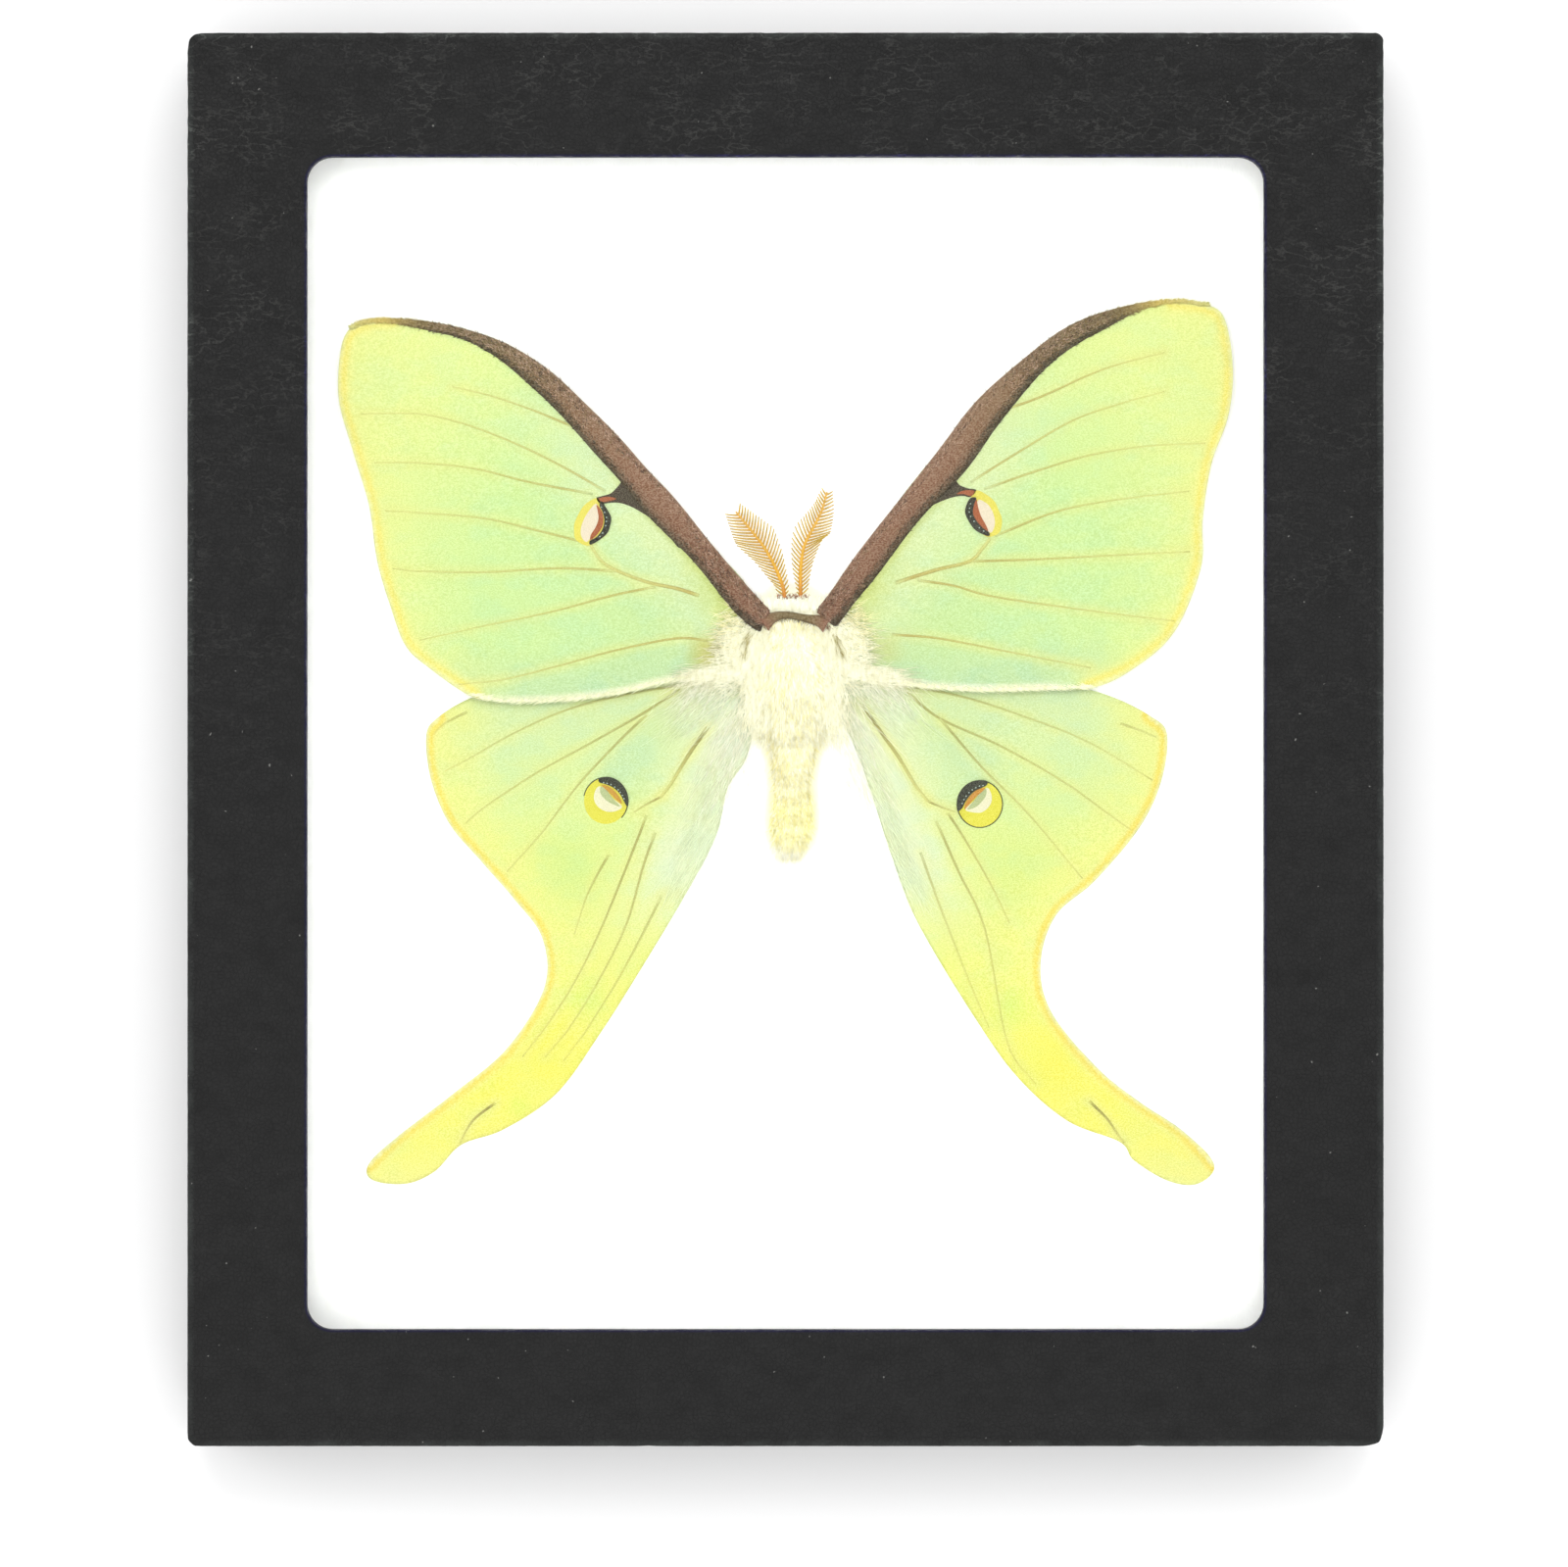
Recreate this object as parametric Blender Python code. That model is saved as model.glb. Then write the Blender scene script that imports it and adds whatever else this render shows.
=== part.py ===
"""Framed luna moth specimen: a glazed card display case with a spread moth on white batting.

The case lies on its back, +Z out of the glass and +Y towards its upper edge. The origin is the
middle of the tray's underside. Lengths are metres. Left and right are the viewer's.
"""

import math

import bmesh
import bpy
from mathutils import Matrix, Vector

MM = 0.001
GAP = 0.3 * MM
WELD = 0.005 * MM

# Outlines are given in photo pixels: one pixel is a tenth of a millimetre on the object.
PIXEL = 0.1 * MM
CENTRE_PX = (801.5, 754.5)

# The case.
CASE_DEPTH = 19.0 * MM
LID_SIZE = (122.1 * MM, 144.3 * MM)
LID_CARD = 1.5 * MM
LID_SKIRT = 1.6 * MM
LID_LIFT = 0.8 * MM
LID_CORNER = 1.3 * MM
LID_EDGE = 0.4 * MM
WINDOW_SIZE = (97.7 * MM, 119.7 * MM)
WINDOW_CENTRE_Y = -0.4 * MM
WINDOW_CORNER = 2.6 * MM
GLASS_THICKNESS = 1.6 * MM
TRAY_WALL = 1.5 * MM
TRAY_FLOOR = 1.5 * MM
TRAY_CORNER = 0.8 * MM
BATTING_TOP = 13.6 * MM
BATTING_CORNER = 3.5 * MM
BATTING_EDGE = 2.0 * MM
CUT_EXTRA = 5.0 * MM

# Heights inside the case, worked out from the lid down.
LID_UNDERSIDE = CASE_DEPTH - LID_CARD
GLASS_TOP = LID_UNDERSIDE - GAP
GLASS_BOTTOM = GLASS_TOP - GLASS_THICKNESS
TRAY_RIM = GLASS_BOTTOM - GAP
TRAY_SIZE = tuple(side - 2 * (LID_SKIRT + GAP) for side in LID_SIZE)
BATTING_SIZE = tuple(side - 2 * (TRAY_WALL + GAP) for side in TRAY_SIZE)

# The wings: the lower and upper face of each membrane.
FOREWING_LEVELS = (14.65 * MM, 15.0 * MM)
HINDWING_LEVELS = (13.9 * MM, 14.2 * MM)
WING_SMOOTHING = 3
VEIN_SINK = 0.05 * MM
VEIN_RADIUS = (0.21 * MM, 0.13 * MM)
COSTA_HEIGHT = 14.83 * MM
COSTA_FLATNESS = 0.35

FOREWING_LEFT_PX = (
    (346, 357), (362, 329), (397, 324), (435, 326), (473, 334), (512, 348), (550, 372), (585, 402),
    (635, 450), (685, 507), (727, 557), (772, 608), (797, 640), (797, 692), (762, 690), (724, 690),
    (678, 697), (632, 708), (579, 715), (521, 717), (481, 711), (435, 680), (412, 658), (397, 619),
    (383, 571), (375, 516), (358, 458), (344, 407),
)  # fmt: skip
FOREWING_RIGHT_PX = (
    (823, 640), (842, 611), (912, 517), (960, 456), (1002, 404), (1050, 361), (1088, 335),
    (1123, 319), (1162, 309), (1200, 305), (1234, 309), (1252, 325), (1260, 376), (1255, 424),
    (1238, 472), (1229, 529), (1227, 579), (1200, 644), (1158, 682), (1114, 702), (1056, 704),
    (999, 705), (932, 700), (886, 687), (823, 686),
)  # fmt: skip
HINDWING_LEFT_PX = (
    (797, 690), (740, 674), (680, 680), (600, 690), (530, 700), (481, 711), (445, 732), (433, 751),
    (438, 796), (457, 841), (491, 881), (524, 919), (552, 958), (554, 1009), (516, 1071),
    (459, 1119), (402, 1163), (374, 1190), (378, 1206), (412, 1210), (442, 1197), (469, 1170),
    (513, 1154), (567, 1117), (612, 1055), (658, 982), (698, 915), (730, 854), (742, 805),
    (759, 778), (770, 752), (797, 735),
)  # fmt: skip
HINDWING_RIGHT_PX = (
    (823, 688), (872, 674), (940, 680), (1010, 688), (1070, 694), (1129, 708), (1175, 730),
    (1193, 750), (1186, 800), (1163, 847), (1119, 899), (1078, 936), (1063, 988), (1076, 1037),
    (1123, 1093), (1166, 1127), (1209, 1156), (1241, 1190), (1224, 1210), (1194, 1207),
    (1159, 1186), (1144, 1167), (1090, 1145), (1038, 1099), (992, 1034), (937, 942), (910, 873),
    (884, 793), (863, 742), (823, 728),
)  # fmt: skip

# Each costa is a stiff front edge: pixel column, row and half width in millimetres.
COSTA_LEFT = (
    (397, 329, 0.30), (435, 332, 0.45), (493, 347, 0.65), (550, 384, 0.93), (575, 406, 1.10),
    (602, 432, 1.20), (650, 486, 1.30), (696, 541, 1.30), (738, 591, 1.28), (773, 632, 1.20),
)  # fmt: skip
COSTA_RIGHT = (
    (1200, 311, 0.30), (1162, 316, 0.45), (1126, 326, 0.60), (1078, 350, 0.78), (1032, 390, 1.08),
    (993, 433, 1.20), (947, 495, 1.33), (899, 557, 1.33), (852, 618, 1.20), (842, 632, 1.15),
)  # fmt: skip

VEINS_PX = {
    "forewing_left": (
        ((584, 434), (537, 415), (479, 397), (430, 388)),
        ((617, 496), (577, 477), (531, 454), (475, 432), (426, 421), (366, 421)),
        ((604, 503), (540, 491), (483, 477), (426, 471), (380, 471)),
        ((601, 554), (550, 541), (493, 528), (424, 522), (391, 520)),
        ((628, 582), (569, 579), (493, 583), (426, 582), (399, 579)),
        ((713, 607), (691, 600), (640, 584), (603, 556)),
        ((668, 598), (592, 616), (521, 633), (464, 643), (426, 653)),
        ((719, 654), (656, 656), (598, 672), (540, 687), (468, 697)),
    ),
    "forewing_right": (
        ((1028, 415), (1087, 392), (1143, 370), (1190, 356)),
        ((991, 489), (1037, 462), (1095, 428), (1146, 410), (1190, 398)),
        ((1005, 498), (1060, 479), (1114, 463), (1171, 454), (1232, 451)),
        ((1016, 546), (1076, 522), (1133, 510), (1215, 500)),
        ((990, 572), (1056, 570), (1133, 566), (1216, 562)),
        ((914, 594), (974, 573), (1005, 556)),
        ((936, 591), (1009, 607), (1066, 616), (1133, 625), (1198, 633)),
        ((911, 647), (959, 651), (1037, 666), (1114, 681)),
    ),
    "hindwing_left": (
        ((688, 701), (611, 714), (554, 733), (502, 758), (452, 787)),
        ((694, 703), (627, 744), (573, 773), (519, 804), (474, 840)),
        ((659, 729), (628, 759), (588, 802), (554, 847), (516, 890)),
        ((728, 734), (695, 782), (674, 813), (659, 832)),
        ((659, 832), (633, 896), (608, 958), (574, 1024), (532, 1080)),
        ((656, 883), (627, 971), (601, 1019), (555, 1080)),
        ((620, 873), (597, 917), (585, 954)),
        ((500, 1127), (475, 1154), (460, 1175)),
    ),
    "hindwing_right": (
        ((880, 690), (972, 708), (1041, 729), (1110, 756), (1178, 796)),
        ((926, 706), (995, 749), (1052, 779), (1110, 811), (1156, 847)),
        ((960, 733), (1004, 784), (1050, 830), (1106, 897)),
        ((880, 722), (919, 775), (958, 823)),
        ((956, 841), (979, 890), (1006, 949), (1029, 1065), (1058, 1108)),
        ((972, 834), (997, 876), (1031, 942)),
        ((1117, 1127), (1140, 1156), (1152, 1172)),
    ),
}

# The body, front to back: pixel row, left and right column, then top and bottom in millimetres.
BODY_SECTIONS = (
    (609, 792, 828, 14.2, 12.3), (612, 779, 840, 14.8, 11.2), (622, 777, 842, 15.1, 10.4),
    (634, 777, 843, 15.0, 9.8), (643, 770, 847, 15.2, 9.0), (655, 762, 856, 15.3, 8.3),
    (668, 757, 862, 15.3, 7.7), (682, 758, 861, 15.3, 7.5), (698, 761, 859, 15.3, 7.7),
    (714, 766, 855, 15.2, 8.2), (730, 771, 848, 15.1, 8.9), (744, 778, 841, 15.0, 9.5),
    (757, 785, 836, 14.8, 9.9), (771, 788, 831, 14.9, 10.1), (786, 789, 828, 14.9, 10.2),
    (803, 791, 826, 14.6, 10.6), (807, 790, 827, 14.9, 10.3), (822, 789, 828, 14.6, 10.6),
    (827, 788, 829, 14.9, 10.4), (841, 788, 829, 14.6, 10.7), (846, 787, 829, 14.8, 10.6),
    (860, 790, 825, 14.5, 11.1), (870, 795, 817, 14.2, 11.6), (878, 802, 811, 13.6, 12.5),
)  # fmt: skip
BODY_SIDES = 20
BODY_TOP_POWER = 3.6
BODY_BOTTOM_POWER = 2.0
COLLAR_PX = ((784, 631), (795, 628), (806, 627), (820, 629), (836, 634))
COLLAR_RADIUS = 0.55 * MM
COLLAR_HEIGHT = 14.72 * MM

# The antennae: each shaft from the head to the tip, and the comb of barbs on both its sides.
ANTENNA_HEIGHT = 14.65 * MM
SHAFTS_PX = {
    "antenna_left": ((799.5, 604), (798, 592), (791, 578), (775, 551), (758, 530), (750.5, 521)),
    "antenna_right": ((817, 604), (817, 582), (822, 553), (834, 530), (839, 519), (844, 500)),
}
SHAFT_RADII = (0.26 * MM, 0.14 * MM)
SHAFT_SAMPLES = 12
BARB_PITCH = 0.46 * MM
BARB_RADII = (0.15 * MM, 0.06 * MM)
BARB_LEAN = math.radians(54)
BARB_OFFSET = 0.1 * MM
# Barb lengths on an antenna's left and right side: at its base, middle and tip, in millimetres.
BARB_LENGTHS = {
    "antenna_left": ((1.0, 2.6, 0.8), (0.5, 2.1, 0.9)),
    "antenna_right": ((0.2, 1.8, 1.2), (0.9, 2.6, 0.8)),
}

LOOKS = {
    "black_leather_grain_paper": ((0.022, 0.022, 0.022), 0.55, 0.0),
    "black_card": ((0.03, 0.03, 0.03), 0.8, 0.0),
    "clear_glass": ((0.95, 0.97, 0.97), 0.05, 0.0),
    "white_batting": ((0.93, 0.93, 0.92), 0.95, 0.0),
    "forewing_scales": ((0.68, 0.87, 0.42), 0.75, 0.0),
    "hindwing_scales": ((0.72, 0.87, 0.45), 0.75, 0.0),
    "cream_hair": ((0.86, 0.82, 0.65), 0.9, 0.0),
    "antenna_tan": ((0.75, 0.55, 0.25), 0.7, 0.0),
}


def clear_scene():
    """Remove whatever the scene holds."""
    for obj in list(bpy.data.objects):
        bpy.data.objects.remove(obj, do_unlink=True)


def make_collection(name, hidden):
    """Add a collection to the scene, left out of renders if hidden."""
    collection = bpy.data.collections.new(name)
    collection.hide_render = hidden
    bpy.context.scene.collection.children.link(collection)
    return collection


def make_material(name):
    """A Principled material from the LOOKS table."""
    colour, roughness, metallic = LOOKS[name]
    material = bpy.data.materials.new(name)
    material.use_nodes = True
    shader = material.node_tree.nodes["Principled BSDF"]
    shader.inputs["Base Color"].default_value = (*colour, 1.0)
    shader.inputs["Roughness"].default_value = roughness
    shader.inputs["Metallic"].default_value = metallic
    return material


def from_photo(points):
    """Photo pixels as flat points on the object."""
    return [Vector(((x - CENTRE_PX[0]) * PIXEL, (CENTRE_PX[1] - y) * PIXEL, 0)) for x, y in points]


def add_mesh(name, shape, collection):
    """Make an object of a bmesh and free it."""
    bmesh.ops.recalc_face_normals(shape, faces=shape.faces)
    mesh = bpy.data.meshes.new(name)
    shape.to_mesh(mesh)
    shape.free()
    obj = bpy.data.objects.new(name, mesh)
    collection.objects.link(obj)
    return obj


def block(name, size, levels, corner, collection, centre_y=0.0, top_edge=0.0):
    """A card block with rounded upright corners and, if asked, a softened top edge."""
    shape = bmesh.new()
    bmesh.ops.create_cube(shape, size=1)
    height = levels[1] - levels[0]
    bmesh.ops.scale(shape, vec=(*size, height), verts=shape.verts)
    bmesh.ops.translate(shape, vec=(0, centre_y, sum(levels) / 2), verts=shape.verts)
    if corner:
        upright = [e for e in shape.edges if abs(e.verts[0].co.z - e.verts[1].co.z) > height / 2]
        bmesh.ops.bevel(shape, geom=upright, offset=corner, segments=5, profile=0.5, affect="EDGES")
    if top_edge:
        rim = [e for e in shape.edges if min(v.co.z for v in e.verts) > levels[1] - WELD]
        bmesh.ops.bevel(shape, geom=rim, offset=top_edge, segments=2, profile=0.5, affect="EDGES")
    return add_mesh(name, shape, collection)


def cut(target, cutter):
    """Take the cutter's shape out of the target."""
    cutter.display_type = "WIRE"
    cutter.hide_render = True
    modifier = target.modifiers.new("cut_" + cutter.name, "BOOLEAN")
    modifier.operation = "DIFFERENCE"
    modifier.object = cutter


def fuse(target, addition):
    """Grow the addition's shape onto the target."""
    addition.display_type = "WIRE"
    addition.hide_render = True
    modifier = target.modifiers.new("fuse_" + addition.name, "BOOLEAN")
    modifier.operation = "UNION"
    modifier.object = addition


def curve_to_mesh(curve_object, height, flatness, collection):
    """Turn a curve drawn in millimetres into a welded mesh object at a height, flattened in Z."""
    graph = bpy.context.evaluated_depsgraph_get()
    mesh = bpy.data.meshes.new_from_object(curve_object.evaluated_get(graph))
    scale = Matrix.Diagonal((MM, MM, MM * flatness, 1))
    mesh.transform(Matrix.Translation((0, 0, height)) @ scale)
    shape = bmesh.new()
    shape.from_mesh(mesh)
    bmesh.ops.remove_doubles(shape, verts=shape.verts, dist=WELD)
    name = curve_object.name
    bpy.data.objects.remove(curve_object, do_unlink=True)
    bpy.data.meshes.remove(mesh)
    return add_mesh(name, shape, collection)


def add_curve(name, points, closed, resolution):
    """A smooth Bezier curve through points, or a closed one round them.

    It is drawn in millimetres, because Blender's fill joins points a few hundredths of one apart.
    """
    curve = bpy.data.curves.new(name, "CURVE")
    curve.dimensions = "2D" if closed else "3D"
    curve.resolution_u = resolution
    spline = curve.splines.new("BEZIER")
    spline.bezier_points.add(len(points) - 1)
    for knot, point in zip(spline.bezier_points, points):
        knot.co = point / MM
        knot.handle_left_type = "AUTO"
        knot.handle_right_type = "AUTO"
    spline.use_cyclic_u = closed
    obj = bpy.data.objects.new(name, curve)
    bpy.context.scene.collection.objects.link(obj)
    return obj


def plate(name, outline, levels, resolution, collection):
    """A flat sheet between two levels with a smooth outline."""
    obj = add_curve(name, outline, closed=True, resolution=resolution)
    obj.data.fill_mode = "BOTH"
    obj.data.extrude = (levels[1] - levels[0]) / 2 / MM
    return curve_to_mesh(obj, sum(levels) / 2, 1, collection)


def rib(name, points, radii, height, collection, resolution=2, sides=0, flatness=1.0):
    """A tapered tube along points, its radius given at each of them."""
    obj = add_curve(name, points, closed=False, resolution=resolution)
    obj.data.bevel_depth = 1.0
    obj.data.bevel_resolution = sides
    obj.data.use_fill_caps = True
    for knot, radius in zip(obj.data.splines[0].bezier_points, radii):
        knot.radius = radius / MM
    return curve_to_mesh(obj, height, flatness, collection)


def body_section(section, clearance):
    """One ring of the body: flat-topped against the glass, round below."""
    row, left, right, top, bottom = section
    low_left, high_right = from_photo(((left, row), (right, row)))
    half_width = (high_right.x - low_left.x) / 2 + clearance
    half_depth = (top - bottom) * MM / 2 + clearance
    centre = Vector(((low_left.x + high_right.x) / 2, low_left.y, (top + bottom) * MM / 2))
    ring = []
    for step in range(BODY_SIDES):
        angle = math.tau * step / BODY_SIDES
        side, rise = math.cos(angle), math.sin(angle)
        power = 2 / (BODY_TOP_POWER if rise > 0 else BODY_BOTTOM_POWER)
        across = math.copysign(abs(side) ** power, side) * half_width
        up = math.copysign(abs(rise) ** power, rise) * half_depth
        ring.append(centre + Vector((across, 0, up)))
    return ring


def body_loft(name, clearance, collection):
    """The body as one loft, its rings grown by a clearance and its ends moved out by it."""
    rings = [body_section(section, clearance) for section in BODY_SECTIONS]
    for ring, shift in ((rings[0], clearance), (rings[-1], -clearance)):
        for point in ring:
            point.y += shift
    shape = bmesh.new()
    loops = [[shape.verts.new(point) for point in ring] for ring in rings]
    for front, back in zip(loops, loops[1:]):
        for i in range(BODY_SIDES):
            j = (i + 1) % BODY_SIDES
            shape.faces.new((front[i], front[j], back[j], back[i]))
    shape.faces.new(loops[0])
    shape.faces.new(loops[-1])
    return add_mesh(name, shape, collection)


def sample_line(points, spacing):
    """Points at even distances along a smooth curve through points, with their directions."""
    fine = []
    padded = [2 * points[0] - points[1], *points, 2 * points[-1] - points[-2]]
    for a, b, c, d in zip(padded, padded[1:], padded[2:], padded[3:]):
        for step in range(SHAFT_SAMPLES):
            t = step / SHAFT_SAMPLES
            turn = (c - a) * t + (2 * a - 5 * b + 4 * c - d) * t**2 + (3 * b - a - 3 * c + d) * t**3
            fine.append(b + turn / 2)
    fine.append(points[-1])
    found = []
    travelled = 0.0
    for start, end in zip(fine, fine[1:]):
        length = (end - start).length
        while len(found) * spacing <= travelled + length:
            along = (len(found) * spacing - travelled) / length
            found.append((start.lerp(end, along), (end - start).normalized()))
        travelled += length
    return found


def barb_length(lengths, share):
    """A barb's length at a share of the way up the shaft: long in the middle."""
    base, middle, tip = lengths
    end = base if share < 0.5 else tip
    return (end + (middle - end) * math.sin(math.pi * share)) * MM


def make_barbs(name, points, lengths, collection):
    """The two rows of barbs along a shaft, each a tapered square rod that leans forward."""
    stations = sample_line(points, BARB_PITCH)
    shape = bmesh.new()
    for index, (root, direction) in enumerate(stations):
        for side, side_lengths in zip((1, -1), lengths):
            length = barb_length(side_lengths, index / (len(stations) - 1))
            normal = Vector((-direction.y, direction.x, 0)) * side
            out = direction * math.cos(BARB_LEAN) + normal * math.sin(BARB_LEAN)
            middle = root + normal * BARB_OFFSET + out * (length / 2)
            middle.z = ANTENNA_HEIGHT
            place = Matrix.Translation(middle) @ out.to_track_quat("Z", "Y").to_matrix().to_4x4()
            bmesh.ops.create_cone(
                shape, cap_ends=True, segments=4, radius1=BARB_RADII[0], radius2=BARB_RADII[1],
                depth=length, matrix=place,
            )  # fmt: skip
    return add_mesh(name, shape, collection)


def make_antenna(name, parts, cutters):
    """A feathered antenna: a tapered shaft with its barbs fused to it."""
    points = from_photo(SHAFTS_PX[name])
    start, end = SHAFT_RADII
    radii = [start + (end - start) * i / (len(points) - 1) for i in range(len(points))]
    shaft = rib(name, points, radii, ANTENNA_HEIGHT, parts, sides=1)
    fuse(shaft, make_barbs(name + "_barbs", points, BARB_LENGTHS[name], cutters))
    return shaft


def make_wing(name, outline_px, levels, costa, clearance, parts, cutters):
    """A wing: its membrane with the veins and, on a forewing, the costa fused to it."""
    wing = plate(name, from_photo(outline_px), levels, WING_SMOOTHING, parts)
    for index, vein_px in enumerate(VEINS_PX[name]):
        points = from_photo(vein_px)
        start, end = VEIN_RADIUS
        radii = [start + (end - start) * i / (len(points) - 1) for i in range(len(points))]
        vein = rib(f"{name}_vein_{index}", points, radii, levels[1] - VEIN_SINK, cutters)
        fuse(wing, vein)
    if costa:
        points = from_photo([knot[:2] for knot in costa])
        radii = [knot[2] * MM for knot in costa]
        bar = rib(name + "_costa", points, radii, COSTA_HEIGHT, cutters, 3, 2, COSTA_FLATNESS)
        fuse(wing, bar)
    cut(wing, clearance)
    return wing


def make_case(parts, cutters, clearance):
    """The tray, batting, glass and lid."""
    tray = block("tray", TRAY_SIZE, (0, TRAY_RIM), TRAY_CORNER, parts)
    hollow = tuple(side - 2 * TRAY_WALL for side in TRAY_SIZE)
    cut(tray, block("tray_hollow", hollow, (TRAY_FLOOR, TRAY_RIM + CUT_EXTRA), 0, cutters))
    pad_levels = (TRAY_FLOOR + GAP, BATTING_TOP)
    batting = block("batting", BATTING_SIZE, pad_levels, BATTING_CORNER, parts, 0, BATTING_EDGE)
    cut(batting, clearance)
    glass = block("glass", TRAY_SIZE, (GLASS_BOTTOM, GLASS_TOP), TRAY_CORNER, parts)
    lid = block("lid", LID_SIZE, (LID_LIFT, CASE_DEPTH), LID_CORNER, parts, 0, LID_EDGE)
    inside = tuple(side - 2 * LID_SKIRT for side in LID_SIZE)
    cut(lid, block("lid_hollow", inside, (LID_LIFT - CUT_EXTRA, LID_UNDERSIDE), 0, cutters))
    window_levels = (GLASS_TOP - CUT_EXTRA, CASE_DEPTH + CUT_EXTRA)
    window = block("lid_window", WINDOW_SIZE, window_levels, WINDOW_CORNER, cutters, WINDOW_CENTRE_Y)
    cut(lid, window)
    return {
        tray: "black_card",
        batting: "white_batting",
        glass: "clear_glass",
        lid: "black_leather_grain_paper",
    }


def make_moth(parts, cutters, clearance):
    """The moth: body, wings and antennae."""
    body = body_loft("moth_body", 0.0, parts)
    collar_radii = [COLLAR_RADIUS] * len(COLLAR_PX)
    fuse(body, rib("collar", from_photo(COLLAR_PX), collar_radii, COLLAR_HEIGHT, cutters, sides=2))
    looks = {body: "cream_hair"}
    for name, outline, levels, costa, look in (
        ("forewing_left", FOREWING_LEFT_PX, FOREWING_LEVELS, COSTA_LEFT, "forewing_scales"),
        ("forewing_right", FOREWING_RIGHT_PX, FOREWING_LEVELS, COSTA_RIGHT, "forewing_scales"),
        ("hindwing_left", HINDWING_LEFT_PX, HINDWING_LEVELS, None, "hindwing_scales"),
        ("hindwing_right", HINDWING_RIGHT_PX, HINDWING_LEVELS, None, "hindwing_scales"),
    ):
        looks[make_wing(name, outline, levels, costa, clearance, parts, cutters)] = look
    for name in SHAFTS_PX:
        looks[make_antenna(name, parts, cutters)] = "antenna_tan"
    return looks


def main():
    """Build the case and the moth in it, and dress each piece."""
    clear_scene()
    parts = make_collection("framed_luna_moth", hidden=False)
    cutters = make_collection("framed_luna_moth_cutters", hidden=True)
    clearance = body_loft("body_clearance", GAP, cutters)
    looks = make_case(parts, cutters, clearance)
    looks.update(make_moth(parts, cutters, clearance))
    for obj, look in looks.items():
        obj.data.materials.append(bpy.data.materials.get(look) or make_material(look))


main()
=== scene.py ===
"""Framed luna moth specimen, dressed: a black leatherette display case with a spread moth in it.

The CAD frame gives the case its size. This script adds what the photograph shows on it: the
grained lid, the clear glass, the soft batting, and the moth with its scaled wings, veins,
eyespots, fur and feathered antennae. Work inside the script is in millimetres, and every mesh
is turned into metres when its object is made.
"""

import logging
import math
from dataclasses import dataclass
from enum import Enum
from typing import Iterable, Sequence

import bpy
import numpy as np
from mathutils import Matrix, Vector, noise
from mathutils.geometry import delaunay_2d_cdt


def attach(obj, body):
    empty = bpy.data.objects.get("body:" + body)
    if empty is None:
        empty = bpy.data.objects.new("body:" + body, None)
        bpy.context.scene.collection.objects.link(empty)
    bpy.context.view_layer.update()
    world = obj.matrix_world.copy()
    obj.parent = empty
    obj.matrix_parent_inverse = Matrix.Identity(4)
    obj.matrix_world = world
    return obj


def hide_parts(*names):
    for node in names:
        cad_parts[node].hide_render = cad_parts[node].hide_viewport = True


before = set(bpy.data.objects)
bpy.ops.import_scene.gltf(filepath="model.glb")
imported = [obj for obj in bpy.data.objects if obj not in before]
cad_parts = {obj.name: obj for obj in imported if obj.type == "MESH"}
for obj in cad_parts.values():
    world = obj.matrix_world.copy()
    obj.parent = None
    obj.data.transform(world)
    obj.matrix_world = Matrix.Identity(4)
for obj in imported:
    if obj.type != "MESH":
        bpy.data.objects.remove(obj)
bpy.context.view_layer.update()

LOG = logging.getLogger("luna_moth_case")

Array = np.ndarray
Pair = tuple[float, float]
Triple = tuple[float, float, float]
Four = tuple[float, float, float, float]
Pixel = Pair
Colour = Triple
Range = Four
Path = Sequence[Pixel]
Stops = Sequence[tuple[float, Colour]]
Socket = bpy.types.NodeSocket
Material = bpy.types.Material
Piece = bpy.types.Object

MM = 0.001
BODY = "root"
TINT = "tint"

# One photo pixel is a tenth of a millimetre, counted from the middle of the case.
PIXEL_MM = 0.1
CENTRE_PX = (801.5, 754.5)
IMAGE_PX = (1600, 1599)
FULL_CHANNEL = 255.0

# The glass adds a little white to all that lies under it, so those pieces are tinted deeper.
GLASS_VEIL = 0.004
DARKEST = 0.004

# Nothing of the moth rises above this height, just under the glass.
CEILING = 15.45
HAIR_CEILING = 15.42
UP = (0, 0, 1.0)
TINY = 1e-9
ELLIPSE_POINTS = 24

# Most of a noise's values lie between these two.
NOISE_SPREAD = (0.3, 0.7)


class Side(Enum):
    """One of a pair, as the viewer sees it."""

    LEFT = "left"
    RIGHT = "right"


class Zone(Enum):
    """The parts of the lid's cross-section."""

    SKIRT = "skirt"
    EDGE = "edge"
    FACE = "face"
    LINING = "lining"
    UNDER = "under"


class Slot(Enum):
    """The record's material slots."""

    LID = "lid"
    TRAY = "tray"
    GLASS = "glass"
    BATTING = "batting"
    FOREWING = "forewing"
    HINDWING = "hindwing"
    BODY = "body"
    ANTENNA = "antenna"


# Small geometry helpers, all in millimetres.


def to_mm(points: Iterable[Pixel]) -> Array:
    """Turns photo pixels, columns and rows, into X and Y in millimetres on the object."""
    return (np.asarray(list(points), float) - CENTRE_PX) * (PIXEL_MM, -PIXEL_MM)


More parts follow.
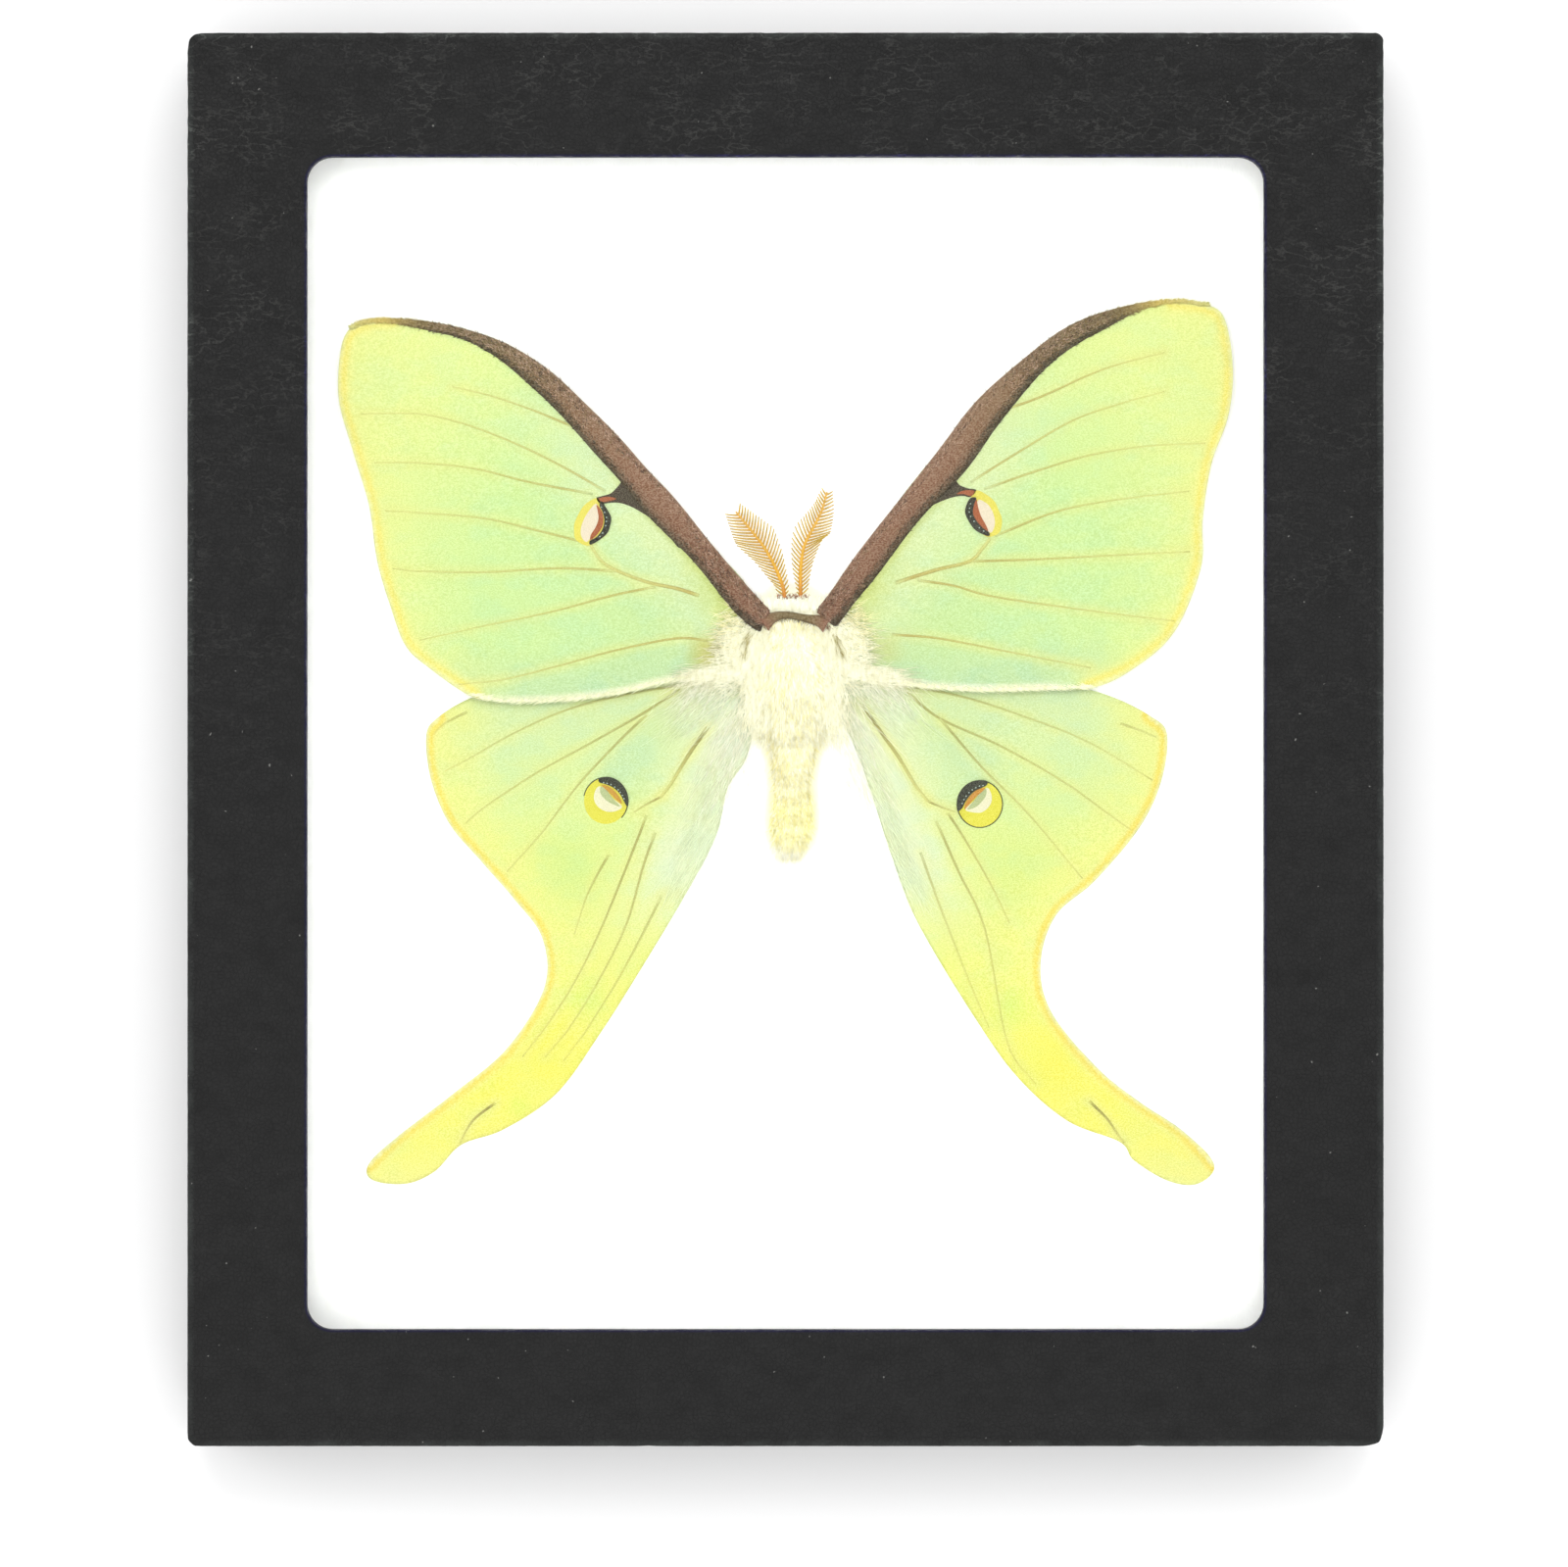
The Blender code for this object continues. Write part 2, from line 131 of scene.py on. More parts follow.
def smooth_line(points: Array, steps: int, closed: bool = False) -> Array:
    """Runs a smooth line through every point.

    Args:
        points: the points, one a row.
        steps: how many points the line has for each given one.
        closed: whether the line comes back to its start.

    Returns:
        The points of the line, one a row.
    """
    knots = np.asarray(points, float)
    if closed:
        before, after, last = np.roll(knots, 1, 0), np.roll(knots, -1, 0), np.roll(knots, -2, 0)
        here = knots
    else:
        start = 2 * knots[:1] - knots[1:2]
        end = 2 * knots[-1:] - knots[-2:-1]
        padded = np.concatenate((start, knots, end))
        before, here, after, last = padded[:-3], padded[1:-2], padded[2:-1], padded[3:]
    share = (np.arange(steps) / steps)[None, :, None]
    before, here, after, last = (part[:, None, :] for part in (before, here, after, last))
    line = 0.5 * (
        2 * here
        + (after - before) * share
        + (2 * before - 5 * here + 4 * after - last) * share**2
        + (3 * here - before - 3 * after + last) * share**3
    )
    line = line.reshape(-1, knots.shape[1])
    return line if closed else np.concatenate((line, knots[-1:]))


def distance_to(line: Array, spots: Array) -> Array:
    """Measures how far each spot is from a line.

    Args:
        line: the line's points, X and Y.
        spots: the places to measure from, X and Y.

    Returns:
        The shortest distance of each spot.
    """
    best = np.full(len(spots), np.inf)
    for start, end in zip(line[:-1], line[1:]):
        run = end - start
        length = max(float(run @ run), 1e-12)
        share = np.clip((spots - start) @ run / length, 0, 1)[:, None]
        best = np.minimum(best, np.linalg.norm(spots - start - share * run, axis=1))
    return best


def inside(outline: Array, spots: Array) -> Array:
    """Tells which spots lie within a closed outline.

    Args:
        outline: the outline's points, X and Y.
        spots: the places to test, X and Y.

    Returns:
        True for each spot within.
    """
    found = np.zeros(len(spots), bool)
    ahead = np.roll(outline, -1, 0)
    for (x0, y0), (x1, y1) in zip(outline, ahead):
        crosses = (y0 > spots[:, 1]) != (y1 > spots[:, 1])
        if crosses.any():
            reach = (x1 - x0) * (spots[:, 1] - y0) / (y1 - y0 if y1 != y0 else 1e-12) + x0
            found ^= crosses & (spots[:, 0] < reach)
    return found


def fade(value: Array, low: float, high: float) -> Array:
    """Eases from 1 at low to 0 at high, or the other way where high is the lesser."""
    share = np.clip((value - low) / (high - low), 0, 1)
    return 1 - share * share * (3 - 2 * share)


def mingle(first: Array, second: Colour, amount: Array) -> Array:
    """Mixes a colour into a row of colours, by an amount from 0 to 1 for each."""
    return first + (np.asarray(second, float) - first) * amount[:, None]


def read_along(where: Array, places: Sequence[float], rows: Array) -> Array:
    """Reads every column of a table between its rows, whose places rise."""
    return np.stack([np.interp(where, places, column) for column in np.asarray(rows).T], axis=-1)


def graded(share: Array, stops: Stops) -> Array:
    """Reads a colour for each share off a scale of stops."""
    places, colours = zip(*stops)
    return read_along(share, places, colours)


def linear(colours: Array) -> Array:
    """Turns screen colours of 0 to 255 into linear light of 0 to 1."""
    share = np.clip(np.asarray(colours, float) / FULL_CHANNEL, 0, 1)
    return np.where(share <= 0.04045, share / 12.92, ((share + 0.055) / 1.055) ** 2.4)


def paint(colour: Colour) -> tuple[float, ...]:
    """A shader colour from a screen colour of 0 to 255."""
    return (*linear(colour).tolist(), 1.0)


def grey(value: float) -> Colour:
    """A grey screen colour."""
    return (value, value, value)


def uneven(spots: Array, *layers: Triple) -> Array:
    """Adds up layers of smooth unevenness.

    Args:
        spots: the places, X and Y first.
        layers: each layer's depth, the distance between its humps, and its seed.

    Returns:
        A height for each place.
    """
    total = np.zeros(len(spots))
    for depth, reach, seed in layers:
        total += [depth * noise.noise(Vector((x / reach, y / reach, seed))) for x, y, *_ in spots]
    return total


def row_at(y: Array) -> Array:
    """The photo's pixel row at a height on the object."""
    return CENTRE_PX[1] - y / PIXEL_MM


def upright(flat: Array, height: Array | float) -> Array:
    """Gives flat places a height: X and Y become X, Y and Z."""
    return np.column_stack((flat, np.broadcast_to(height, len(flat))))


def unit(rows: Array) -> Array:
    """Directions of length 1."""
    return rows / np.maximum(np.linalg.norm(rows, axis=-1, keepdims=True), TINY)


def bands(rings: int, count: int, wrap: bool = False) -> list[tuple[int, ...]]:
    """Joins rings of points into a skin of four-sided faces.

    Args:
        rings: how many rings there are.
        count: how many points each ring has.
        wrap: whether the last ring is joined to the first.

    Returns:
        The faces, as numbers of points.
    """
    faces = []
    for ring in range(rings if wrap else rings - 1):
        here, there = ring * count, (ring + 1) % rings * count
        ahead = [*range(1, count), 0]
        faces += [(here + i, here + k, there + k, there + i) for i, k in enumerate(ahead)]
    return faces


def barrel(rings: int, count: int) -> list[tuple[int, ...]]:
    """Joins rings of points into a skin that is closed at both ends.

    Args:
        rings: how many rings there are.
        count: how many points each ring has.

    Returns:
        The faces, as numbers of points.
    """
    last = (rings - 1) * count
    sides = [face[:1] + face[:0:-1] for face in bands(rings, count)]
    return sides + [tuple(range(count)), tuple(range(last, last + count))[::-1]]


def filled(spots: Array, rim: int, closeness: float) -> tuple[list, list]:
    """Fills a closed outline with triangles.

    Args:
        spots: the outline's points, then any points within it, X and Y.
        rim: how many of them are the outline.
        closeness: how near two points may lie before they are one.

    Returns:
        The faces, and the outline's edges.
    """
    edges = [(i, (i + 1) % rim) for i in range(rim)]
    corners = [Vector(spot) for spot in spots]
    _, _, faces, origins, _, _ = delaunay_2d_cdt(corners, edges, [], 1, closeness)
    names = [origin[0] if origin else 0 for origin in origins]
    return [[names[i] for i in face] for face in faces], edges


def circle(count: int) -> Array:
    """Angles evenly round a circle, anticlockwise from the viewer's right."""
    return np.arange(count) * math.tau / count


class MeshDraft:
    """A mesh in the making: points in millimetres, faces, and a screen colour at each point."""

    def __init__(self) -> None:
        """Starts with nothing in it."""
        self.points: list = []
        self.faces: list = []
        self.tints: list = []

    def add(self, points: Array, faces: Iterable, tints: Array) -> None:
        """Adds one closed shape.

        Args:
            points: its points, one a row.
            faces: its faces, counted from the shape's own first point.
            tints: the colour of each point, or one colour for all.
        """
        first = len(self.points)
        tints = np.broadcast_to(np.asarray(tints, float), (len(points), 3))
        self.points.extend(np.asarray(points, float).tolist())
        self.tints.extend(tints.tolist())
        self.faces.extend([first + int(corner) for corner in face] for face in faces)

    def tube(
        self,
        path: Array,
        radii: Array,
        tints: Array,
        sides: int = 6,
        flatness: float = 1.0,
    ) -> None:
        """Adds a closed tube along a path.

        Args:
            path: the middle line, X, Y and Z.
            radii: the half width at each point of the path.
            tints: colours by path point, or by path point and side.
            sides: how many sides the tube has.
            flatness: its thickness over its width.
        """
        along = np.gradient(path, axis=0)
        along /= np.linalg.norm(along, axis=1)[:, None]
        across = np.cross(along, UP)
        across /= np.linalg.norm(across, axis=1)[:, None]
        upward = np.cross(across, along)
        turn = circle(sides)
        out = np.cos(turn)[None, :, None] * across[:, None, :]
        out = out + flatness * np.sin(turn)[None, :, None] * upward[:, None, :]
        rings = path[:, None, :] + np.asarray(radii)[:, None, None] * out
        tints = np.asarray(tints, float)
        if tints.ndim == 2:
            tints = np.repeat(tints, sides, axis=0)
        self.add(rings.reshape(-1, 3), barrel(len(path), sides), tints.reshape(-1, 3))

    def hairs(
        self,
        roots: Array,
        bends: Array,
        tips: Array,
        radius: float,
        tints: Array,
    ) -> None:
        """Adds many fine hairs, each three-sided and tapered to a point.

        Args:
            roots: where each hair starts.
            bends: a point that each hair leans towards on its way.
            tips: where each hair ends.
            radius: the half width at the root.
            tints: a colour for each hair.
        """
        middle = 0.25 * roots + 0.5 * bends + 0.25 * tips
        run = tips - roots
        across = unit(np.cross(run, UP) + TINY)
        upward = unit(np.cross(across, run))
        rows = []
        for centre, width in ((roots, radius), (middle, radius * 0.7)):
            for turn in circle(3):
                rows.append(centre + width * (math.cos(turn) * across + math.sin(turn) * upward))
        shape = np.stack((*rows, tips), axis=1)
        pattern = [(0, 1, 2)]
        for j, k in ((0, 1), (1, 2), (2, 0)):
            pattern += [(j, 3 + j, 3 + k), (j, 3 + k, k), (3 + j, 6, 3 + k)]
        starts = 7 * np.arange(len(roots))
        faces = (starts[:, None, None] + np.asarray(pattern)).reshape(-1, 3)
        self.add(shape.reshape(-1, 3), faces, np.repeat(np.asarray(tints, float), 7, axis=0))

    def plate(self, outline: Array, low: float, high: float, tint: Colour) -> None:
        """Adds a thin flat plate.

        Args:
            outline: its edge, X and Y.
            low: the height of its underside.
            high: the height of its face.
            tint: its colour.
        """
        ahead = np.roll(outline, -1, 0)
        if np.sum(outline[:, 0] * ahead[:, 1] - outline[:, 1] * ahead[:, 0]) < 0:
            outline = outline[::-1]
        count = len(outline)
        under = np.column_stack((outline, np.full(count, low)))
        over = np.column_stack((outline, np.full(count, high)))
        faces, edges = filled(outline, count, 1e-7)
        faces = [[count + i for i in face] for face in faces] + [face[::-1] for face in faces]
        faces += [[i, j, count + j, count + i] for i, j in edges]
        self.add(np.concatenate((under, over)), faces, np.asarray(tint, float))

    def finish(
        self, name: str, finish: Material, slot: Slot, stands_for: str = "", smooth: bool = True
    ) -> Piece:
        """Makes the object, dresses it and sets it on the case.

        Args:
            name: the piece's name.
            finish: its material.
            slot: the record's slot that the piece belongs to; the colours of all but the lid's are
                tinted deeper for the glass.
            stands_for: the CAD node that it takes the place of, if any.
            smooth: whether its faces are shaded smooth.

        Returns:
            The new object.
        """
        mesh = bpy.data.meshes.new(name)
        scaled = (np.asarray(self.points) * MM).tolist()
        mesh.from_pydata(scaled, [], self.faces)
        colours = np.ones((len(self.tints), 4))
        colours[:, :3] = linear(np.asarray(self.tints))
        if slot is not Slot.LID:
            colours[:, :3] = np.maximum(colours[:, :3] - GLASS_VEIL, DARKEST)
        layer = mesh.color_attributes.new(TINT, "FLOAT_COLOR", "POINT")
        layer.data.foreach_set("color", colours.astype(np.float32).ravel())
        if smooth:
            mesh.shade_smooth()
        else:
            mesh.shade_flat()
        mesh.materials.append(finish)
        mesh.validate()
        mesh.update()
        piece = bpy.data.objects.new(name, mesh)
        bpy.context.scene.collection.objects.link(piece)
        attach(piece, BODY)
        if stands_for:
            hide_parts(stands_for)
        LOG.info("%s: %d points, %d faces", name, len(mesh.vertices), len(mesh.polygons))
        return piece


# Finishes, each a small recipe of nodes.


class NodeBoard:
    """One material's nodes, laid out in few words."""

    def __init__(self, name: str) -> None:
        """Starts a material of that name with a plain shader."""
        self.material = bpy.data.materials.new(name)
        self.material.use_nodes = True
        self.tree = self.material.node_tree
        self.shader = self.tree.nodes["Principled BSDF"]
        self.output = self.tree.nodes["Material Output"]
        self.place = self.add("ShaderNodeTexCoord").outputs["Object"]

    def add(self, kind: str, **settings: object) -> bpy.types.Node:
        """Adds a node.

        Args:
            kind: the node's type.
            settings: its properties.

        Returns:
            The node.
        """
        node = self.tree.nodes.new(kind)
        for setting, value in settings.items():
            setattr(node, setting, value)
        return node

    def join(self, source: Socket, target: Socket) -> None:
        """Links an output to an input."""
        self.tree.links.new(source, target)

    def grain(self, size_mm: float, detail: float, stretch: Sequence[float] = (1, 1, 1)) -> Socket:
        """Cloudy noise.

        Args:
            size_mm: how far apart its spots are.
            detail: how many finer layers it has.
            stretch: how much closer together its spots are along X, Y and Z.

        Returns:
            The noise's output.
        """
        mapping = self.add("ShaderNodeMapping")
        mapping.inputs["Scale"].default_value = stretch
        self.join(self.place, mapping.inputs["Vector"])
        cloud = self.add("ShaderNodeTexNoise")
        cloud.inputs["Scale"].default_value = 1 / (size_mm * MM)
        cloud.inputs["Detail"].default_value = detail
        self.join(mapping.outputs["Vector"], cloud.inputs["Vector"])
        return cloud.outputs["Fac"]

    def ramp(self, source: Socket, *stops: tuple[float, Colour]) -> Socket:
        """Colours by a scale.

        Args:
            source: what drives it.
            stops: the place and the screen colour of each stop.

        Returns:
            The scale's colour output.
        """
        scale = self.add("ShaderNodeValToRGB")
        while len(scale.color_ramp.elements) < len(stops):
            scale.color_ramp.elements.new(1.0)
        for element, (place, colour) in zip(scale.color_ramp.elements, stops):
            element.position = place
            element.color = paint(colour)
        self.join(source, scale.inputs["Fac"])
        return scale.outputs["Color"]

    def level(self, source: Socket, low: float, high: float, first: float, last: float) -> Socket:
        """Spreads a value from one range over another.

        Args:
            source: the value.
            low: the value that gives the first result.
            high: the value that gives the last one.
            first: the first result.
            last: the last result.

        Returns:
            The new value's output.
        """
        spread = self.add("ShaderNodeMapRange")
        for socket, value in zip(spread.inputs[1:5], (low, high, first, last)):
            socket.default_value = value
        self.join(source, spread.inputs["Value"])
        return spread.outputs["Result"]

    def mix(
        self,
        factor: Socket | float,
        first: Socket | Sequence[float],
        second: Socket | Sequence[float],
        blend: str = "MIX",
    ) -> Socket:
        """Mixes two colours.

        Args:
            factor: how much of the second.
            first: the first colour.
            second: the second colour.
            blend: the way they mix.

        Returns:
            The mixed colour's output.
        """
        node = self.add("ShaderNodeMix", data_type="RGBA", blend_type=blend)
        # The sockets of a colour mix: the factor, then the two colours.
        for number, value in zip((0, 6, 7), (factor, first, second)):
            if isinstance(value, Socket):
                self.join(value, node.inputs[number])
            else:
                node.inputs[number].default_value = value
        return node.outputs[2]

    def times(self, first: Socket, second: Socket | Sequence[float]) -> Socket:
        """Multiplies a colour by another, or by three shares."""
        if not isinstance(second, Socket):
            second = (*second, 1.0)
        return self.mix(1.0, first, second, "MULTIPLY")

    def raise_from(self, height: Socket, depth_mm: float, strength: float) -> None:
        """Raises the surface's shading.

        Args:
            height: how high each place is, from 0 to 1.
            depth_mm: how deep that is.
            strength: how much of it shows.
        """
        bump = self.add("ShaderNodeBump")
        bump.inputs["Strength"].default_value = strength
        bump.inputs["Distance"].default_value = depth_mm * MM
        self.join(height, bump.inputs["Height"])
        self.join(bump.outputs["Normal"], self.shader.inputs["Normal"])

    def set(self, **values: float) -> None:
        """Sets shader sockets by name, with _ for a space."""
        for name, value in values.items():
            self.shader.inputs[name.replace("_", " ")].default_value = value

    def colour(self, source: Socket) -> None:
        """Links the shader's colour."""
        self.join(source, self.shader.inputs["Base Color"])

    def glow(self, source: Socket, strength: float) -> None:
        """Makes the surface give off a little light of a colour: a painted glow that brightens it where
        it lies in shade.
        """
        self.join(source, self.shader.inputs["Emission Color"])
        self.shader.inputs["Emission Strength"].default_value = strength

    def roughness(self, source: Socket, low: float, high: float) -> None:
        """Makes the surface's roughness follow a noise, from low to high."""
        self.join(self.level(source, *NOISE_SPREAD, low, high), self.shader.inputs["Roughness"])

    def tint(self) -> Socket:
        """The colour that the mesh carries."""
        return self.add("ShaderNodeAttribute", attribute_name=TINT).outputs["Color"]


@dataclass(frozen=True)
class Leatherette:
    """Black paper with a leather grain, over card."""

    name: str = "leatherette_black"
    pebble_mm: float = 0.45
    crack: Range = (0.0, 0.12, 0.0, 1.0)
    crease_mm: float = 3.2
    crease_share: float = 0.45
    fine_mm: float = 0.12
    fine_share: float = 0.25
    depth_mm: float = 0.1
    speck_mm: float = 0.55
    specks: Range = (0.80, 0.83, 0.0, 0.5)
    speck_tint: Colour = (150, 150, 146)
    cloud_mm: float = 9.0
    cloud_dark: float = 236.0
    wrinkle_mm: float = 1.7
    ridge: Triple = (0.47, 0.5, 0.53)
    patch_mm: float = 6.5
    patches: Range = (0.42, 0.60, 0.15, 0.85)
    # The ridges' paling: partly rubbed wear, partly a painted highlight, strong on the lid's upper part
    # and gone on its lower part.
    upper: Range = (-0.02, 0.045, 0.1, 1.0)
    wear_and_highlight_gain: Triple = (4.2, 4.2, 4.0)

    def build(self) -> Material:
        """Builds the material: creased grain, dull sheen, pale specks, and wrinkle ridges painted
        paler, partly as rubbed wear and partly as a painted highlight.
        """
        board = NodeBoard(self.name)
        pebble = board.add("ShaderNodeTexVoronoi", feature="DISTANCE_TO_EDGE")
        pebble.inputs["Scale"].default_value = 1 / (self.pebble_mm * MM)
        board.join(board.place, pebble.inputs["Vector"])
        crack = board.level(pebble.outputs["Distance"], *self.crack)
        crease = board.grain(self.crease_mm, 4.0, (1.0, 1.4, 1.0))
        height = board.mix(self.crease_share, crack, crease)
        height = board.mix(self.fine_share, height, board.grain(self.fine_mm, 2.0))
        board.raise_from(height, self.depth_mm, 0.9)
        cloud = board.grain(self.cloud_mm, 3.0)
        shade = board.ramp(cloud, (0.3, grey(self.cloud_dark)), (0.7, grey(FULL_CHANNEL)))
        base = board.times(board.tint(), shade)
        # Painted highlight, partly wear: the wrinkles' ridges are made paler, in patches, mostly on the
        # lid's upper part.
        base = board.mix(self.rubbed(board), base, board.times(base, self.wear_and_highlight_gain))
        specks = board.level(board.grain(self.speck_mm, 1.0), *self.specks)
        board.colour(board.mix(specks, base, paint(self.speck_tint)))
        board.roughness(crease, 0.42, 0.66)
        board.set(Specular_IOR_Level=0.2)
        return board.material

    def rubbed(self, board: NodeBoard) -> Socket:
        """Finds the wrinkles' ridges that are painted paler, in patches, and mostly on the lid's upper
        part: partly rubbed wear, partly a painted highlight where the lamp from above would catch them.

        Args:
            board: the material's nodes.

        Returns:
            How much paler each place is painted.
        """
        low, crest, high = self.ridge
        wrinkle = board.grain(self.wrinkle_mm, 4.0, (0.8, 1.8, 1.0))
        ridge = board.ramp(wrinkle, (low, grey(0)), (crest, grey(FULL_CHANNEL)), (high, grey(0)))
        patch = board.level(board.grain(self.patch_mm, 3.0), *self.patches)
        across = board.add("ShaderNodeSeparateXYZ")
        board.join(board.place, across.inputs["Vector"])
        return board.times(board.times(ridge, patch), board.level(across.outputs["Y"], *self.upper))


@dataclass(frozen=True)
class TrayCard:
    """The tray's card, covered in plain black paper."""

    name: str = "tray_black_paper"
    fibre_mm: float = 0.3
    depth_mm: float = 0.03
    dark: Colour = (33, 33, 34)
    light: Colour = (43, 43, 43)
    patch_mm: float = 14.0
    patches: Range = (0.55, 0.8, 0.0, 0.6)
    patch_tint: Colour = (62, 62, 60)

    def build(self) -> Material:
        """Builds the material: matt paper with faint fibres and a few rubbed patches."""
        board = NodeBoard(self.name)
        fibre = board.grain(self.fibre_mm, 4.0, (1.0, 2.6, 1.0))
        paper = board.ramp(fibre, (0.3, self.dark), (0.7, self.light))
        rubbed = board.level(board.grain(self.patch_mm, 4.0), *self.patches)
        board.colour(board.mix(rubbed, paper, paint(self.patch_tint)))
        board.roughness(fibre, 0.72, 0.9)
        board.raise_from(fibre, self.depth_mm, 0.6)
        board.set(Specular_IOR_Level=0.3)
        return board.material


@dataclass(frozen=True)
class ClearGlass:
    """Thin float glass that lets the lamps through to what lies under it."""

    name: str = "clear_glass"
    smear_mm: float = 26.0
    smears: Range = (0.58, 0.8, 0.0, 0.03)
    tinge: Colour = (253, 255, 254)

    def build(self) -> Material:
        """Builds the material: clear, with faint smears in its gloss."""
        board = NodeBoard(self.name)
        smear = board.grain(self.smear_mm, 2.0, (1.0, 0.5, 1.0))
        board.join(board.level(smear, *self.smears), board.shader.inputs["Roughness"])
        board.colour(board.ramp(smear, (0.0, self.tinge), (1.0, grey(FULL_CHANNEL))))
        board.set(Transmission_Weight=1.0, IOR=1.5)
        blend = board.add("ShaderNodeMixShader")
        board.join(board.add("ShaderNodeLightPath").outputs["Is Shadow Ray"], blend.inputs[0])
        board.join(board.shader.outputs[0], blend.inputs[1])
        board.join(board.add("ShaderNodeBsdfTransparent").outputs[0], blend.inputs[2])
        board.join(blend.outputs[0], board.output.inputs["Surface"])
        return board.material


@dataclass(frozen=True)
class SoftWhite:
    """White fibre batting."""

    name: str = "batting_fibre"
    tuft_mm: float = 1.6
    haze_mm: float = 0.25
    depth_mm: float = 0.12
    shade: Colour = (249, 249, 247)
    light: Colour = (254, 254, 253)
    # The batting's glow is painted light: it lifts the shade that the lid casts on it near the window's
    # edge.
    glow: float = 0.16

    def build(self) -> Material:
        """Builds the material: near white, hazy, with matted fibres and a painted glow."""
        board = NodeBoard(self.name)
        tuft = board.grain(self.tuft_mm, 3.0)
        haze = board.grain(self.haze_mm, 2.0, (1.0, 0.3, 1.0))
        white = board.times(board.tint(), board.ramp(tuft, (0.3, self.shade), (0.6, self.light)))
        board.colour(white)
        # Painted light: the batting glows a little, so the lid's shade on it washes out.
        board.glow(white, self.glow)
        board.raise_from(board.mix(0.5, tuft, haze), self.depth_mm, 0.5)
        board.roughness(haze, 0.9, 1.0)
        board.set(Specular_IOR_Level=0.1, Sheen_Weight=0.2)
        return board.material


@dataclass(frozen=True)
class Scales:
    """The powder of scales on a wing: fine, dull, a little silky."""

    name: str
    speck_mm: float
    contrast: float
    depth_mm: float
    bright: float = 0.68
    glow: float = 0.09
    mottle: float = 0.0
    mottle_mm: float = 3.4
    depth_of_dark: float = 0.16
    dark_cast: Triple = (1.0, 1.01, 0.94)
    shine: Colour = (255, 255, 226)
    warmth: Triple = (1.0, 0.985, 0.94)
    mint: Triple = (0.92, 0.985, 1.12)

    def build(self) -> Material:
        """Builds the material over the colours that the mesh carries."""
        board = NodeBoard(self.name)
        speck = board.grain(self.speck_mm, 3.0, (1.0, 1.5, 1.0))
        streak = board.grain(self.speck_mm * 6, 2.0, (1.5, 0.8, 1.0))
        patch = board.grain(self.mottle_mm, 3.0, (1.0, 1.5, 1.0))
        deep = 1 - self.depth_of_dark * self.contrast
        base = board.times(board.tint(), grey(self.bright))
        dull = board.times(base, [deep * cast for cast in self.dark_cast])
        glow = board.mix(self.glow, base, paint(self.shine))
        tone = board.mix(board.level(speck, 0.38, 0.62, 0.0, 1.0), dull, glow)
        warm = board.times(tone, self.warmth)
        tone = board.mix(board.level(streak, 0.45, 0.7, 0.0, 0.6), tone, warm)
        mottled = board.level(patch, 0.46, 0.62, 0.0, self.mottle)
        board.colour(board.mix(mottled, tone, board.times(tone, self.mint)))
        board.raise_from(speck, self.depth_mm, 0.5)
        board.roughness(speck, 0.62, 0.85)
        board.set(Specular_IOR_Level=0.18, Sheen_Weight=0.08)
        return board.material


@dataclass(frozen=True)
class Fur:
    """Moth hair, over the colours that the mesh carries."""

    name: str = "moth_fur"
    wisp_mm: float = 0.5
    depth_mm: float = 0.06
    shade: Colour = (232, 230, 216)
    # The fur's glow is painted light: it lifts the shade among the hairs.
    glow: float = 0.30
    bright: float = 0.80

    def build(self) -> Material:
        """Builds the material: soft, pale and silky, with a painted glow."""
        board = NodeBoard(self.name)
        wisp = board.grain(self.wisp_mm, 4.0, (1.4, 0.5, 1.0))
        tone = board.ramp(wisp, (0.25, self.shade), (0.6, grey(FULL_CHANNEL)))
        fur = board.times(board.tint(), tone)
        board.colour(board.times(fur, grey(self.bright)))
        # Painted light: the fur glows a little, so the shade among the hairs is lifted.
        board.glow(fur, self.glow)
        board.raise_from(wisp, self.depth_mm, 0.4)
        board.roughness(wisp, 0.6, 0.8)
        board.set(Specular_IOR_Level=0.2, Sheen_Weight=0.15)
        return board.material


@dataclass(frozen=True)
class PaleFloor:
    """The plain pale floor of the studio."""

    name: str = "studio_floor"
    cloud_mm: float = 60.0
    tones: Pair = (249.0, 251.0)

    def build(self) -> Material:
        """Builds the material: near white and matt."""
        board = NodeBoard(self.name)
        cloud = board.grain(self.cloud_mm, 2.0)
        dark, light = self.tones
        board.colour(board.ramp(cloud, (0.3, grey(dark)), (0.7, grey(light))))
        board.set(Roughness=0.95, Specular_IOR_Level=0.1)
        return board.material


class Finishes:
    """Every material, built once."""

    def __init__(self) -> None:
        """Builds them."""
        self.leatherette = Leatherette().build()
        self.tray = TrayCard().build()
        self.glass = ClearGlass().build()
        self.batting = SoftWhite().build()
        self.membrane = Scales("wing_scales", 0.18, 0.66, 0.05, glow=0.1, mottle=0.6).build()
        self.vein = Scales("vein_scales", 0.12, 0.8, 0.02).build()
        self.costa = Scales("costa_scales", 0.2, 1.3, 0.08, glow=0.1).build()
        self.eyespot = Scales("eyespot_scales", 0.1, 0.8, 0.02).build()
        self.fur = Fur().build()
        self.antenna = Scales("antenna_gold", 0.1, 1.0, 0.02, bright=0.8).build()


# The case.


